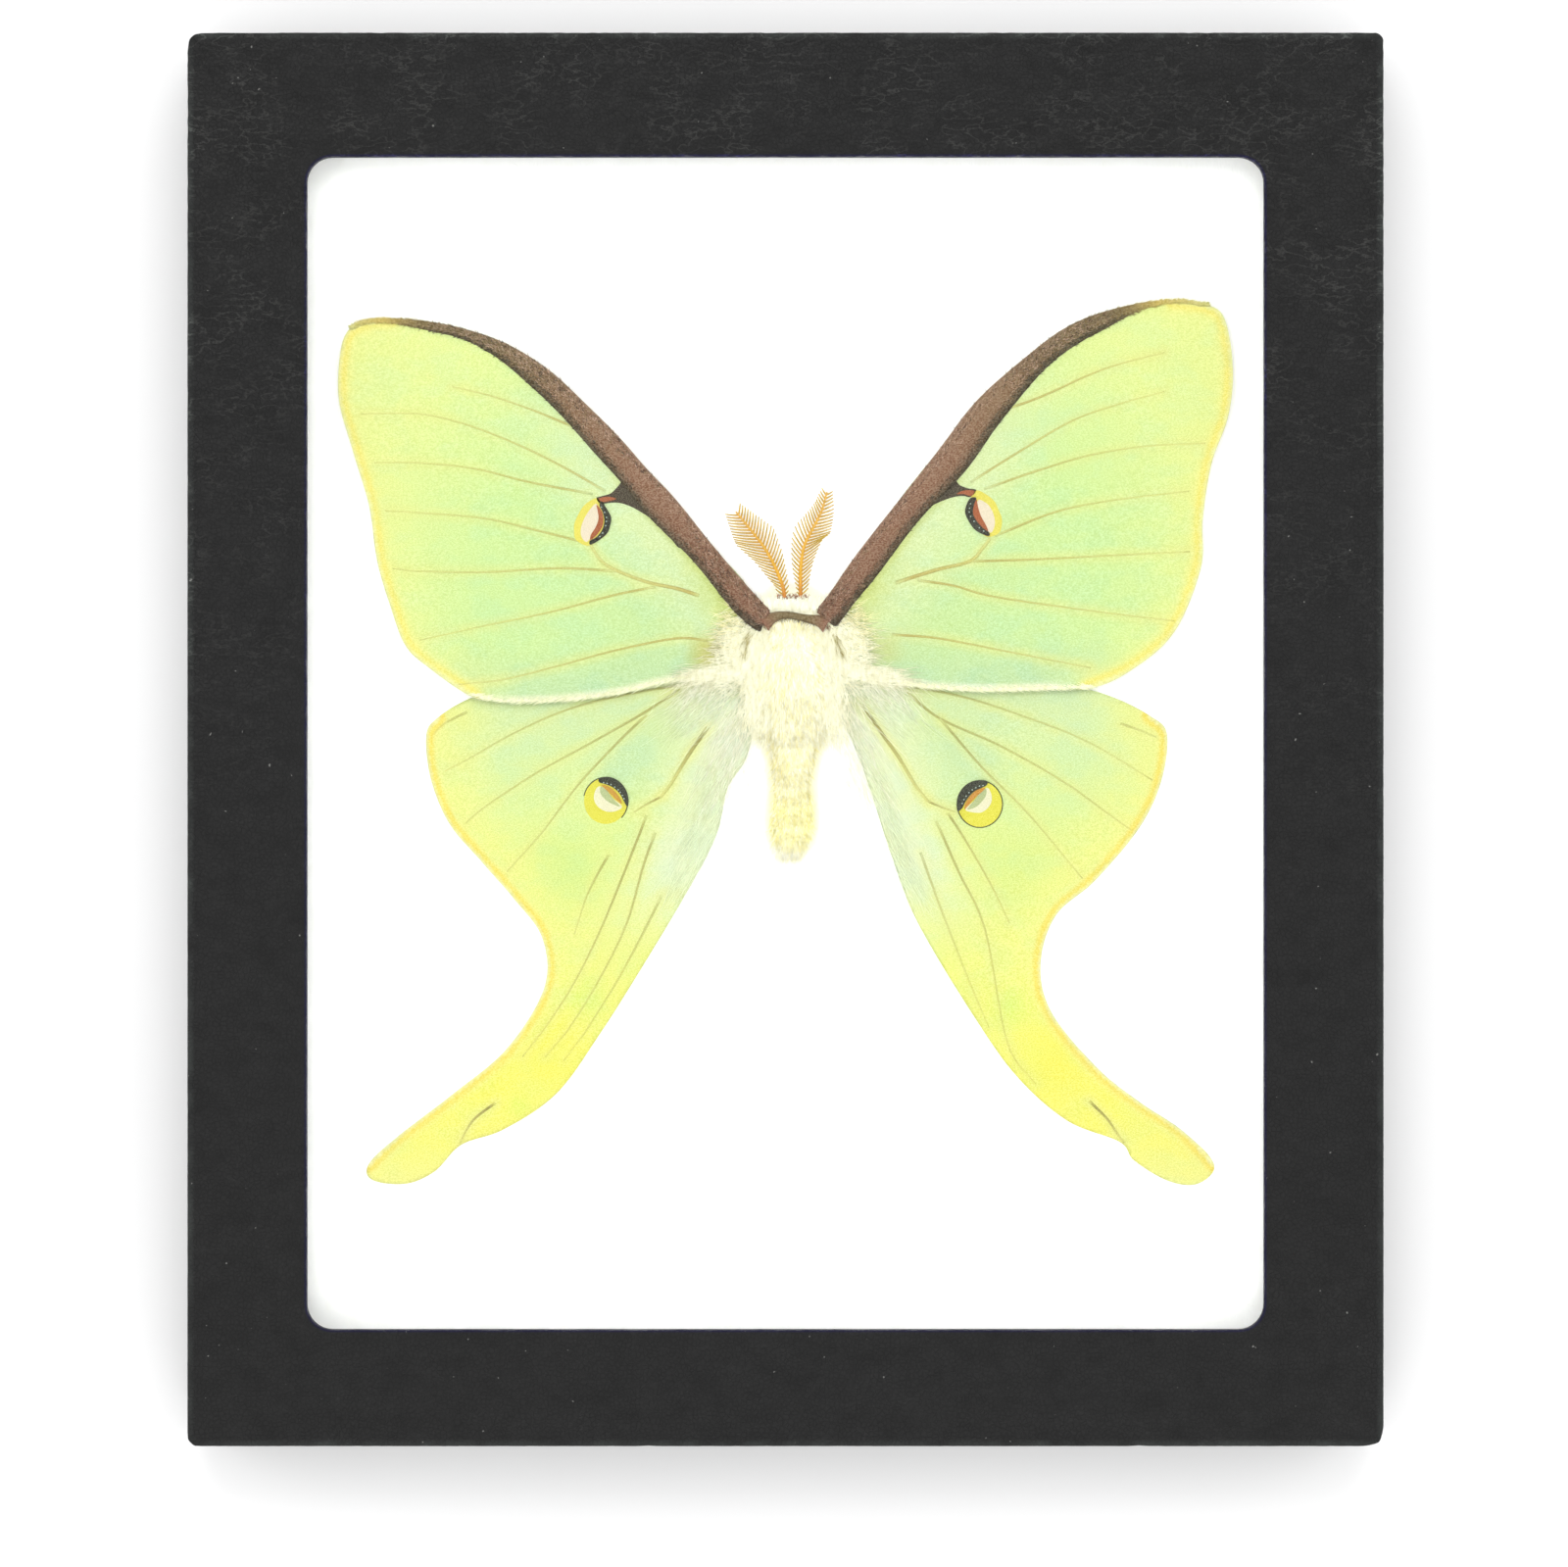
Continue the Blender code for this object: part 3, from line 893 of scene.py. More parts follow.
@dataclass
class Lid:
    """The lid: a grained ring round the window, and the skirt that hangs from it."""

    finishes: Finishes
    half_size: Pair = (61.05, 72.15)
    corner: float = 0.8
    edge: float = 0.3
    skirt: float = 1.6
    bottom: float = 0.8
    top: float = 19.0
    underside: float = 17.5
    inner_waist: float = 9.0
    window_half: Pair = (48.85, 59.85)
    window_corner: float = 2.6
    window_centre_y: float = -0.4
    window_edge: float = 0.3
    lining_drops: tuple[float, ...] = (0.5, 0.9)
    side_steps: tuple[int, int] = (190, 226)
    corner_steps: int = 8
    skirt_rings: int = 30
    face_rings: int = 24
    edge_turns: tuple[float, ...] = (30, 60, 90)
    crease_seed: int = 1
    crease_depth: float = 0.12
    pad_depth: float = 0.03
    calm: float = 0.3
    worn_from: float = 20.0
    worn_over: float = 45.0
    black: Colour = (23, 23, 23)
    lining: Colour = (20, 18, 48)
    worn_edge: Colour = (52, 56, 54)
    # Each knock's X, Y, reach and depth.
    knocks: tuple[Four, ...] = (
        (-61.05, 72.15, 1.5, 0.40),
        (61.05, 72.15, 0.9, 0.12),
        (61.05, -72.15, 1.9, 0.50),
        (-61.05, -72.15, 1.0, 0.25),
        (36.0, -72.15, 1.2, 0.08),
        (-14.0, -72.15, 1.0, 0.06),
    )

    def loop(self, half: Pair, radius: float, centre_y: float) -> Array:
        """Walks round a rectangle with round corners, the same number of steps on any size.

        Args:
            half: half its width and height.
            radius: its corner radius.
            centre_y: the height of its middle.

        Returns:
            X, Y and the outward direction of each step.
        """
        rows = []
        straight = (half[0] - radius, half[1] - radius)
        for number, (sx, sy) in enumerate(((1, 1), (-1, 1), (-1, -1), (1, -1))):
            centre = np.array((sx * straight[0], sy * straight[1] + centre_y))
            for step in range(self.corner_steps):
                turn = math.pi / 2 * (number + step / self.corner_steps)
                out = np.array((math.cos(turn), math.sin(turn)))
                rows.append((*(centre + radius * out), *out))
            turn = math.pi / 2 * (number + 1)
            out = np.array((round(math.cos(turn)), round(math.sin(turn))))
            level = 0 if out[1] else 1
            along = np.array((-out[1], out[0])) * 2 * straight[level]
            for share in np.arange(self.side_steps[level]) / self.side_steps[level]:
                rows.append((*(centre + radius * out + along * share), *out))
        return np.asarray(rows)

    def profile(self) -> list[tuple[float, float, float, Zone]]:
        """The lid's cross-section.

        Returns:
            For each point: the share of the way to the window, the step in from the edge
            or back from the window, the height, and the zone that it belongs to.
        """
        turns = [math.radians(turn) for turn in self.edge_turns]
        rim, lip = self.edge, self.window_edge
        rows = [
            (0.0, 0.0, height, Zone.SKIRT)
            for height in np.linspace(self.bottom, self.top - rim, self.skirt_rings)
        ]
        rows += [
            (0.0, rim * (1 - math.cos(turn)), self.top - rim * (1 - math.sin(turn)), Zone.EDGE)
            for turn in turns
        ]
        rows += [
            (share, 0.0, self.top, Zone.FACE)
            for share in np.linspace(0, 1, self.face_rings + 1)[1:]
        ]
        rows += [
            (1.0, -lip * math.sin(turn), self.top - lip * (1 - math.cos(turn)), Zone.LINING)
            for turn in turns
        ]
        rows += [(1.0, -lip, self.top - drop, Zone.LINING) for drop in self.lining_drops]
        under = ((1.0, -lip, self.underside), (0.5, 0.0, self.underside))
        inner = [(0.0, self.skirt, z) for z in (self.underside, self.inner_waist, self.bottom)]
        return rows + [(*place, Zone.UNDER) for place in (*under, *inner)]

    def sink(self, spot: Vector, zone: Zone) -> float:
        """How far the leatherette lies under the lid's nominal face at a spot.

        Args:
            spot: the place, in millimetres.
            zone: the part of the cross-section.

        Returns:
            A depth in millimetres.
        """
        if zone is Zone.UNDER:
            return 0.0
        warp = noise.noise_vector(spot * 0.35) * 0.9
        fold = noise.noise((spot + warp * 2.0) * 0.55)
        second = noise.noise((spot * 0.9 + warp) * 1.15 + Vector((7.0, 3.0, 1.0)))
        crease = max(0.0, 1 - abs(fold) * 5) ** 2 + 0.6 * max(0.0, 1 - abs(second) * 5) ** 2
        broad = 0.5 + 0.5 * noise.noise(spot * 0.09)
        strong = 0.45 + 0.75 * float(np.clip((spot.y - self.worn_from) / self.worn_over, 0, 1))
        depth = strong * self.crease_depth * crease * (0.4 + 0.9 * broad) + self.pad_depth * broad
        return depth * (self.calm if zone in (Zone.SKIRT, Zone.EDGE) else 1.0)

    def knock(self, spot: Vector) -> float:
        """How deep the lid is dented by its knocks.

        Args:
            spot: the place, in millimetres.

        Returns:
            A depth in millimetres.
        """
        depth = 0.0
        for x, y, reach, deep in self.knocks:
            gap = math.hypot(spot.x - x, spot.y - y)
            depth += deep * max(1 - gap / reach, 0) ** 1.2
        return depth

    def tint(self, spot: Vector, zone: Zone) -> Array:
        """The paper's colour at a spot, worn pale along the edge."""
        base = np.asarray(self.lining if zone is Zone.LINING else self.black, float)
        wear = 0.5 + 0.5 * noise.noise(spot * 0.6) if zone is Zone.EDGE else 0.0
        return base + wear * (self.worn_edge - base)

    def rings(self) -> tuple[list[Array], list[Zone]]:
        """Carries the cross-section round the lid.

        Returns:
            The rings of points, in order round the cross-section, and each ring's zone.
        """
        outer = self.loop(self.half_size, self.corner, 0.0)
        half = (self.window_half[0] + self.window_edge, self.window_half[1] + self.window_edge)
        window = self.loop(half, self.window_corner + self.window_edge, self.window_centre_y)
        inset = outer[:, :2] - outer[:, 2:] * self.edge
        rings, zones = [], []
        for share, step, height, zone in self.profile():
            ring = outer[:, :2] - outer[:, 2:] * step
            if share:
                ring = inset + (window[:, :2] - inset) * share + window[:, 2:] * step
            rings.append(upright(ring, height))
            zones.append(zone)
        return rings, zones

    def build(self) -> None:
        """Builds the lid in place of the plain CAD one."""
        noise.seed_set(self.crease_seed)
        rings, zones = self.rings()
        count = len(rings[0])
        points, normals = np.concatenate(rings), self.outward(rings)
        tints = np.empty_like(points)
        for index in range(len(points)):
            spot, zone = Vector(points[index]), zones[index // count]
            points[index] -= normals[index] * (self.sink(spot, zone) + self.knock(spot))
            tints[index] = self.tint(spot, zone)
        draft = MeshDraft()
        draft.add(points, bands(len(rings), count, wrap=True), tints)
        draft.finish("lid_leatherette", self.finishes.leatherette, Slot.LID, "lid")

    @staticmethod
    def outward(rings: list[Array]) -> Array:
        """The direction out of the surface at each point of the rings.

        Args:
            rings: the rings of points, in order round the cross-section.

        Returns:
            A unit direction for each point.
        """
        grid = np.stack(rings)
        around = np.roll(grid, -1, 1) - np.roll(grid, 1, 1)
        across = np.roll(grid, -1, 0) - np.roll(grid, 1, 0)
        return unit(np.cross(around, across).reshape(-1, 3))


@dataclass
class Casework:
    """The pieces of the case that keep their CAD shape: the tray and the glass."""

    finishes: Finishes

    def build(self) -> None:
        """Gives the tray and the glass their materials."""
        for node, finish in (("tray", self.finishes.tray), ("glass", self.finishes.glass)):
            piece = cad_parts[node]
            if not piece.material_slots:
                piece.data.materials.append(finish)
            for holder in piece.material_slots:
                holder.material = finish
            LOG.info("%s keeps its CAD shape", node)


# The body's form, which the batting makes room for.


@dataclass
class BodyForm:
    """The moth's trunk, front to back: pixel row, left and right column, top and bottom in mm."""

    sections: tuple = (
        (609, 792, 828, 14.2, 12.3), (612, 779, 840, 14.7, 11.2), (622, 777, 842, 14.9, 10.4),
        (634, 777, 843, 14.7, 9.8), (643, 770, 847, 14.8, 9.0), (655, 762, 856, 14.9, 8.3),
        (668, 757, 862, 15.0, 7.7), (682, 758, 861, 15.0, 7.5), (698, 761, 859, 15.0, 7.7),
        (714, 766, 855, 14.9, 8.2), (730, 771, 848, 14.8, 8.9), (744, 778, 841, 14.7, 9.5),
        (757, 785, 836, 14.6, 9.9), (771, 788, 831, 14.7, 10.1), (786, 789, 828, 14.7, 10.2),
        (803, 791, 826, 14.5, 10.6), (807, 790, 827, 14.6, 10.3), (822, 789, 828, 14.45, 10.6),
        (827, 788, 829, 14.6, 10.4), (841, 788, 829, 14.45, 10.7), (846, 787, 829, 14.5, 10.6),
        (860, 790, 825, 14.3, 11.1), (870, 795, 817, 14.0, 11.6), (878, 802, 811, 13.4, 12.5),
    )  # fmt: skip
    top_power: float = 5.0
    bottom_power: float = 2.0

    def at(self, row: Array) -> tuple[Array, ...]:
        """Reads the trunk at pixel rows.

        Args:
            row: the pixel rows.

        Returns:
            The middle X, half width, top and bottom there, in millimetres.
        """
        table = np.asarray(self.sections, float)
        left, right, top, bottom = read_along(row, table[:, 0], table[:, 1:]).T
        middle = ((left + right) / 2 - CENTRE_PX[0]) * PIXEL_MM
        return middle, (right - left) / 2 * PIXEL_MM, top, bottom

    def surface(self, row: Array, turn: Array) -> Array:
        """Points on the trunk.

        Args:
            row: the pixel row of each point.
            turn: its angle round the trunk, from the viewer's right over the top.

        Returns:
            X, Y and Z, one point a row.
        """
        middle, half, top, bottom = self.at(row)
        waist = (top + bottom) / 2
        power = np.where(np.sin(turn) > 0, self.top_power, self.bottom_power)
        lift = np.where(np.sin(turn) > 0, top - waist, waist - bottom)
        cosine, sine = np.cos(turn), np.sin(turn)
        x = middle + half * np.sign(cosine) * np.abs(cosine) ** (2 / power)
        z = waist + lift * np.sign(sine) * np.abs(sine) ** (2 / power)
        y = (CENTRE_PX[1] - row) * PIXEL_MM
        return np.column_stack((x, y, z))

    def rows(self) -> Pair:
        """The first and the last pixel row of the trunk."""
        return self.sections[0][0], self.sections[-1][0]


@dataclass
class Batting:
    """The pad of white fibre that fills the tray and holds the moth against the glass."""

    finishes: Finishes
    form: BodyForm
    half_size: Pair = (57.3, 68.4)
    corner: float = 3.5
    top: float = 13.85
    bottom: float = 1.85
    roll: float = 2.2
    spacing: float = 0.8
    room: float = 0.5
    slope: float = 1.6
    trunk_waist: float = 12.0
    lumps: tuple[Triple, ...] = ((0.10, 7.0, 2.0), (0.04, 2.2, 5.0))
    white: Colour = (254, 254, 253)
    # Painted shade: the pad is tinted greyer where it sinks into the hollow under the trunk.
    hollow_painted_shade: Colour = (250, 250, 244)
    hollow_shade_depths: Pair = (0.5, 3.0)
    fill: float = 0.9
    fibre_seed: int = 11
    fibre_count: int = 1500
    fibre_length: Pair = (2.0, 6.0)
    fibre_bow: float = 1.2
    fibre_radius: float = 0.02
    fibre_levels: tuple[float, ...] = (-0.03, 0.12, -0.02)

    def to_edge(self, x: Array, y: Array) -> Array:
        """How far each place is from the pad's edge."""
        return np.minimum(self.half_size[0] - np.abs(x), self.half_size[1] - np.abs(y))

    def heights(self, x: Array, y: Array) -> Array:
        """The height of the pad's upper face.

        Args:
            x: places across.
            y: places up.

        Returns:
            A height for each place.
        """
        inward = np.clip(self.to_edge(x, y) / self.roll, 0, 1)
        drop = self.roll * (1 - np.sqrt(np.clip(1 - (1 - inward) ** 2, 0, 1)))
        height = self.top + uneven(np.column_stack((x, y)), *self.lumps) - drop
        row = row_at(y)
        first, last = self.form.rows()
        middle, half, _, low = self.form.at(row)
        beyond = np.maximum(np.maximum(first - row, row - last), 0) * PIXEL_MM
        reach = np.hypot(np.maximum(np.abs(x - middle) - half, 0), beyond)
        inner = np.sqrt(np.clip(1 - (np.abs(x - middle) / np.maximum(half, 0.1)) ** 2, 0, 1))
        trough = self.trunk_waist - (self.trunk_waist - low + self.room) * inner
        share = fade(reach, 0.3, self.slope)
        return np.minimum(height, height + (trough - height) * share)

    def build(self) -> None:
        """Builds the pad and its loose fibres."""
        wide, tall = self.half_size
        across = np.linspace(-1, 1, int(2 * wide / self.spacing))
        up = np.linspace(-1, 1, int(2 * tall / self.spacing))
        grid_x, grid_y = np.meshgrid(across * wide, up * tall)
        x, y = self.rounded(grid_x.ravel(), grid_y.ravel())
        over = np.column_stack((x, y, self.heights(x, y)))
        rise = self.roll * fade(self.to_edge(x, y), 0.0, self.roll)
        under = np.column_stack((x, y, self.bottom + rise))
        columns, count = len(across), len(x)
        faces = []
        for j in range(len(up) - 1):
            for corner in range(j * columns, (j + 1) * columns - 1):
                face = (corner, corner + 1, corner + columns + 1, corner + columns)
                faces += [face, tuple(count + c for c in reversed(face))]
        for start, end in self.rim(columns, len(up)):
            faces.append((end, start, count + start, count + end))
        # Painted shade, deeper as the pad sinks into the hollow under the trunk.
        least, span = self.hollow_shade_depths
        depth = np.clip((self.top - over[:, 2] - least) / span, 0, 1)
        shade = mingle(np.tile(np.asarray(self.white, float), (count, 1)), self.hollow_painted_shade, depth)
        draft = MeshDraft()
        draft.add(np.concatenate((over, under)), faces, np.concatenate((shade, shade)))
        pad = draft.finish("batting_pad", self.finishes.batting, Slot.BATTING, "batting")
        self.fibres()

    def rounded(self, x: Array, y: Array) -> tuple[Array, Array]:
        """Pulls the pad's four corners in to their round.

        Args:
            x: places across.
            y: places up.

        Returns:
            The new places.
        """
        inner_x, inner_y = (half - self.corner for half in self.half_size)
        over_x = np.maximum(np.abs(x) - inner_x, 0)
        over_y = np.maximum(np.abs(y) - inner_y, 0)
        length = np.maximum(np.hypot(over_x, over_y), TINY)
        scale = np.where((over_x > 0) & (over_y > 0), np.maximum(over_x, over_y) / length, 1.0)
        new_x = np.where(over_x > 0, np.sign(x) * (inner_x + over_x * scale), x)
        new_y = np.where(over_y > 0, np.sign(y) * (inner_y + over_y * scale), y)
        return new_x, new_y

    @staticmethod
    def rim(columns: int, rows: int) -> list[tuple[int, int]]:
        """The edge of a grid, anticlockwise.

        Args:
            columns: how many points the grid has across.
            rows: how many it has up.

        Returns:
            Pairs of points, as their numbers.
        """
        ring = list(range(columns))
        ring += [j * columns + columns - 1 for j in range(1, rows)]
        ring += [(rows - 1) * columns + i for i in range(columns - 2, -1, -1)]
        ring += [j * columns for j in range(rows - 2, 0, -1)]
        return list(zip(ring, ring[1:] + ring[:1]))

    def fibres(self) -> None:
        """Lays loose bowed fibres on the pad."""
        draws = np.random.default_rng(self.fibre_seed)
        count = self.fibre_count
        wide, tall = (half - 4 for half in self.half_size)
        start = np.column_stack((draws.uniform(-wide, wide, count), draws.uniform(-tall, tall, count)))
        turn = draws.uniform(0, math.tau, count)
        length = draws.uniform(*self.fibre_length, count)
        bow = draws.uniform(-self.fibre_bow, self.fibre_bow, count)
        run = np.column_stack((np.cos(turn), np.sin(turn))) * length[:, None]
        aside = np.column_stack((-np.sin(turn), np.cos(turn))) * bow[:, None]
        limit = np.asarray(self.half_size) - 3
        places = []
        for flat, level in zip((start, start + run / 2 + aside, start + run), self.fibre_levels):
            flat = np.clip(flat, -limit, limit)
            places.append(upright(flat, self.heights(*flat.T) + level))
        draft = MeshDraft()
        draft.hairs(*places, self.fibre_radius, np.tile(self.white, (count, 1)))
        draft.finish("batting_fibres", self.finishes.batting, Slot.BATTING)


# The wings.


@dataclass(frozen=True)
class Vein:
    """One vein: its line in photo pixels, from the body outwards, and how strong it shows."""

    line: Path
    strength: float = 0.6
    radius: Pair = (0.14, 0.07)


@dataclass(frozen=True)
class Ink:
    """The colour and the layer of one mark of an eyespot."""

    tint: Colour
    layer: int


class Gauge(Enum):
    """What a wash of colour fades by: distances in millimetres, or a share of the way out."""

    ALONG = "share of the way out"
    HIND = "from the hind edge"
    FRONT = "from the front bar"
    MARGIN = "from the outer margin"
    RIM = "from a line just within the margin"
    STAIN = "from the stain at the root"


@dataclass(frozen=True)
class Wash:
    """A wash of colour: its tint, how strong it is, and where each gauge has it full and gone."""

    tint: Colour
    share: float
    fades: tuple[tuple[Gauge, float, float], ...]


@dataclass
class Wing:
    """One wing: its membrane, veins and eyespot."""

    finishes: Finishes
    side: Side
    outline: Path
    margin: tuple[int, int]
    hind: tuple[int, int]
    veins: tuple[Vein, ...]
    marks: tuple[Path, ...]
    dots: Path
    seed: float
    kind: str
    slot: Slot
    low: float
    high: float
    rim_at: float
    vein_tints: tuple[Colour, Colour]
    greens: Stops
    inks: tuple[Ink, ...] = ()
    patches: tuple[tuple[Pixel, float, Colour], ...] = ()
    patch_share: float = 0.8
    spacing: float = 0.36
    waves: Pair = (0.11, 0.045)
    root: Pixel = (778, 660)
    dip: float = 0.55
    edge_drop: Pair = (0.12, 0.3)
    thickness: float = 0.6
    streak: Colour = (240, 238, 146)
    streak_share: float = 0.6
    vein_sides: int = 8
    vein_flatness: float = 0.45
    mark_step: float = 0.025
    mark_depth: float = 0.25
    dot_radius: float = 0.075
    dot_tint: Colour = (188, 208, 204)

    @property
    def node(self) -> str:
        """The CAD node that this wing stands for."""
        return f"{self.kind}_{self.side.value}"

    @property
    def sign(self) -> int:
        """1 on the viewer's left and -1 on the right."""
        return 1 if self.side is Side.LEFT else -1

    def stretch(self, ends: tuple[int, int]) -> Array:
        """A stretch of the outline.

        Args:
            ends: the numbers of its first and last point.

        Returns:
            Its smooth line, in millimetres.
        """
        first, last = ends
        count = len(self.outline)
        span = (last - first) % count
        return smooth_line(to_mm([self.outline[(first + i) % count] for i in range(span + 1)]), 6)

    def lift(self, spots: Array) -> Array:
        """The height of the membrane's upper face at each place."""
        broad, fine = self.waves
        return self.high + uneven(spots, (broad, 9.0, self.seed), (fine, 2.6, 3.0))

    def gauges(self, spots: Array) -> dict[Gauge, Array]:
        """Measures what the washes fade by. Each kind of wing adds its own.

        Args:
            spots: places, X and Y in millimetres.

        Returns:
            Each gauge's values.
        """
        margin = distance_to(self.stretch(self.margin), spots)
        hind = distance_to(self.stretch(self.hind), spots)
        return {Gauge.MARGIN: margin, Gauge.HIND: hind, Gauge.RIM: np.abs(margin - self.rim_at)}

    def washes(self) -> tuple[tuple[Wash, ...], tuple[Wash, ...]]:
        """The washes under and over the veins' streaks. Each kind of wing says its own."""
        raise NotImplementedError

    def tints(self, spots: Array) -> Array:
        """The colour of the scales.

        Args:
            spots: places, X and Y in millimetres.

        Returns:
            One colour a row.
        """
        gauges = self.gauges(spots)
        colours = graded(gauges[Gauge.ALONG], self.greens)
        for place, reach, tint in self.patches:
            gap = np.linalg.norm(spots - to_mm([place])[0], axis=1)
            colours = mingle(colours, tint, self.patch_share * fade(gap, 0.0, reach))
        under, over = self.washes()
        colours = self.washed(colours, under, gauges)
        for vein in self.veins:
            gap = distance_to(smooth_line(to_mm(vein.line), 3), spots)
            share = self.streak_share * vein.strength
            colours = mingle(colours, self.streak, share * fade(gap, 0.1, 1.1))
        return self.washed(colours, over, gauges)

    @staticmethod
    def washed(
        colours: Array, washes: Iterable[Wash], gauges: dict[Gauge, Array]
    ) -> Array:
        """Lays washes over the scales' colours.

        Args:
            colours: the colours so far.
            washes: the washes, in order.
            gauges: what they fade by.

        Returns:
            The new colours.
        """
        for wash in washes:
            fades = [fade(gauges[gauge], full, gone) for gauge, full, gone in wash.fades]
            colours = mingle(colours, wash.tint, wash.share * math.prod(fades))
        return colours

    def membrane(self) -> None:
        """Builds the membrane: a thin closed sheet of fine mesh."""
        edge = smooth_line(to_mm(self.outline), 12, closed=True)
        closed = np.concatenate((edge, edge[:1]))
        low, high = edge.min(0), edge.max(0)
        pitch = self.spacing
        rows = []
        for j, y in enumerate(np.arange(low[1], high[1], pitch * math.sqrt(3) / 2)):
            line = np.arange(low[0] + (j % 2) * pitch / 2, high[0], pitch)
            rows.append(np.column_stack((line, np.full(len(line), y))))
        spots = np.concatenate(rows)
        spots = spots[inside(edge, spots)]
        spots = spots[distance_to(closed, spots) > 0.55 * pitch]
        flat = np.concatenate((edge, spots))
        faces, edges = filled(flat, len(edge), 1e-6)
        count = len(flat)
        over = upright(flat, self.lift(flat))
        drop, reach = self.edge_drop
        over[:, 2] -= drop * np.clip(1 - distance_to(closed, flat) / reach, 0, 1)
        from_root = np.linalg.norm(flat - to_mm([self.root])[0], axis=1)
        over[:, 2] -= self.dip * fade(from_root, 2.5, 6.0)
        under = over - (0, 0, (self.high - self.low) * self.thickness)
        colours = self.tints(flat)
        both = [[count + i for i in reversed(face)] for face in faces] + faces
        both += [[j, i, count + i, count + j] for i, j in edges]
        draft = MeshDraft()
        draft.add(np.concatenate((over, under)), both, np.concatenate((colours, colours)))
        draft.finish(f"{self.node}_membrane", self.finishes.membrane, self.slot, self.node)

    def vein_net(self) -> None:
        """Builds the veins: fine tapered ribs that fade outwards."""
        draft = MeshDraft()
        strong, weak = np.asarray(self.vein_tints, float)
        for vein in self.veins:
            line = smooth_line(to_mm(vein.line), 7)
            share = np.linspace(0, 1, len(line))
            wide, narrow = vein.radius
            under = self.tints(line)
            ink = strong + (weak - strong) * share[:, None] ** 0.7
            amount = vein.strength * (0.85 - 0.55 * share) * np.clip(share / 0.1, 0.08, 1)
            tints = under + (ink - under) * amount[:, None]
            radii = wide + (narrow - wide) * share
            path = upright(line, self.lift(line))
            draft.tube(path, radii, tints, self.vein_sides, self.vein_flatness)
        draft.finish(f"{self.node}_veins", self.finishes.vein, self.slot)

    def eyespot(self) -> None:
        """Builds the eyespot: thin layers of coloured scales, with pale dots on the black one."""
        draft = MeshDraft()
        base = float(self.lift(to_mm([self.marks[0][0]]))[0]) + 0.03
        for mark, ink in zip(self.marks, self.inks):
            edge = smooth_line(to_mm(mark), 4, closed=True)
            top = base + self.mark_step * ink.layer
            draft.plate(edge, base - self.mark_depth, top, ink.tint)
        top = base + self.mark_step * (max(ink.layer for ink in self.inks) + 1)
        turn = circle(6)
        for spot in to_mm(self.dots):
            ring = spot + self.dot_radius * np.column_stack((np.cos(turn), np.sin(turn)))
            draft.plate(ring, base, top, self.dot_tint)
        draft.finish(f"{self.node}_eyespot", self.finishes.eyespot, self.slot, smooth=False)

    def build(self) -> None:
        """Builds every piece of the wing."""
        self.membrane()
        self.vein_net()
        self.eyespot()


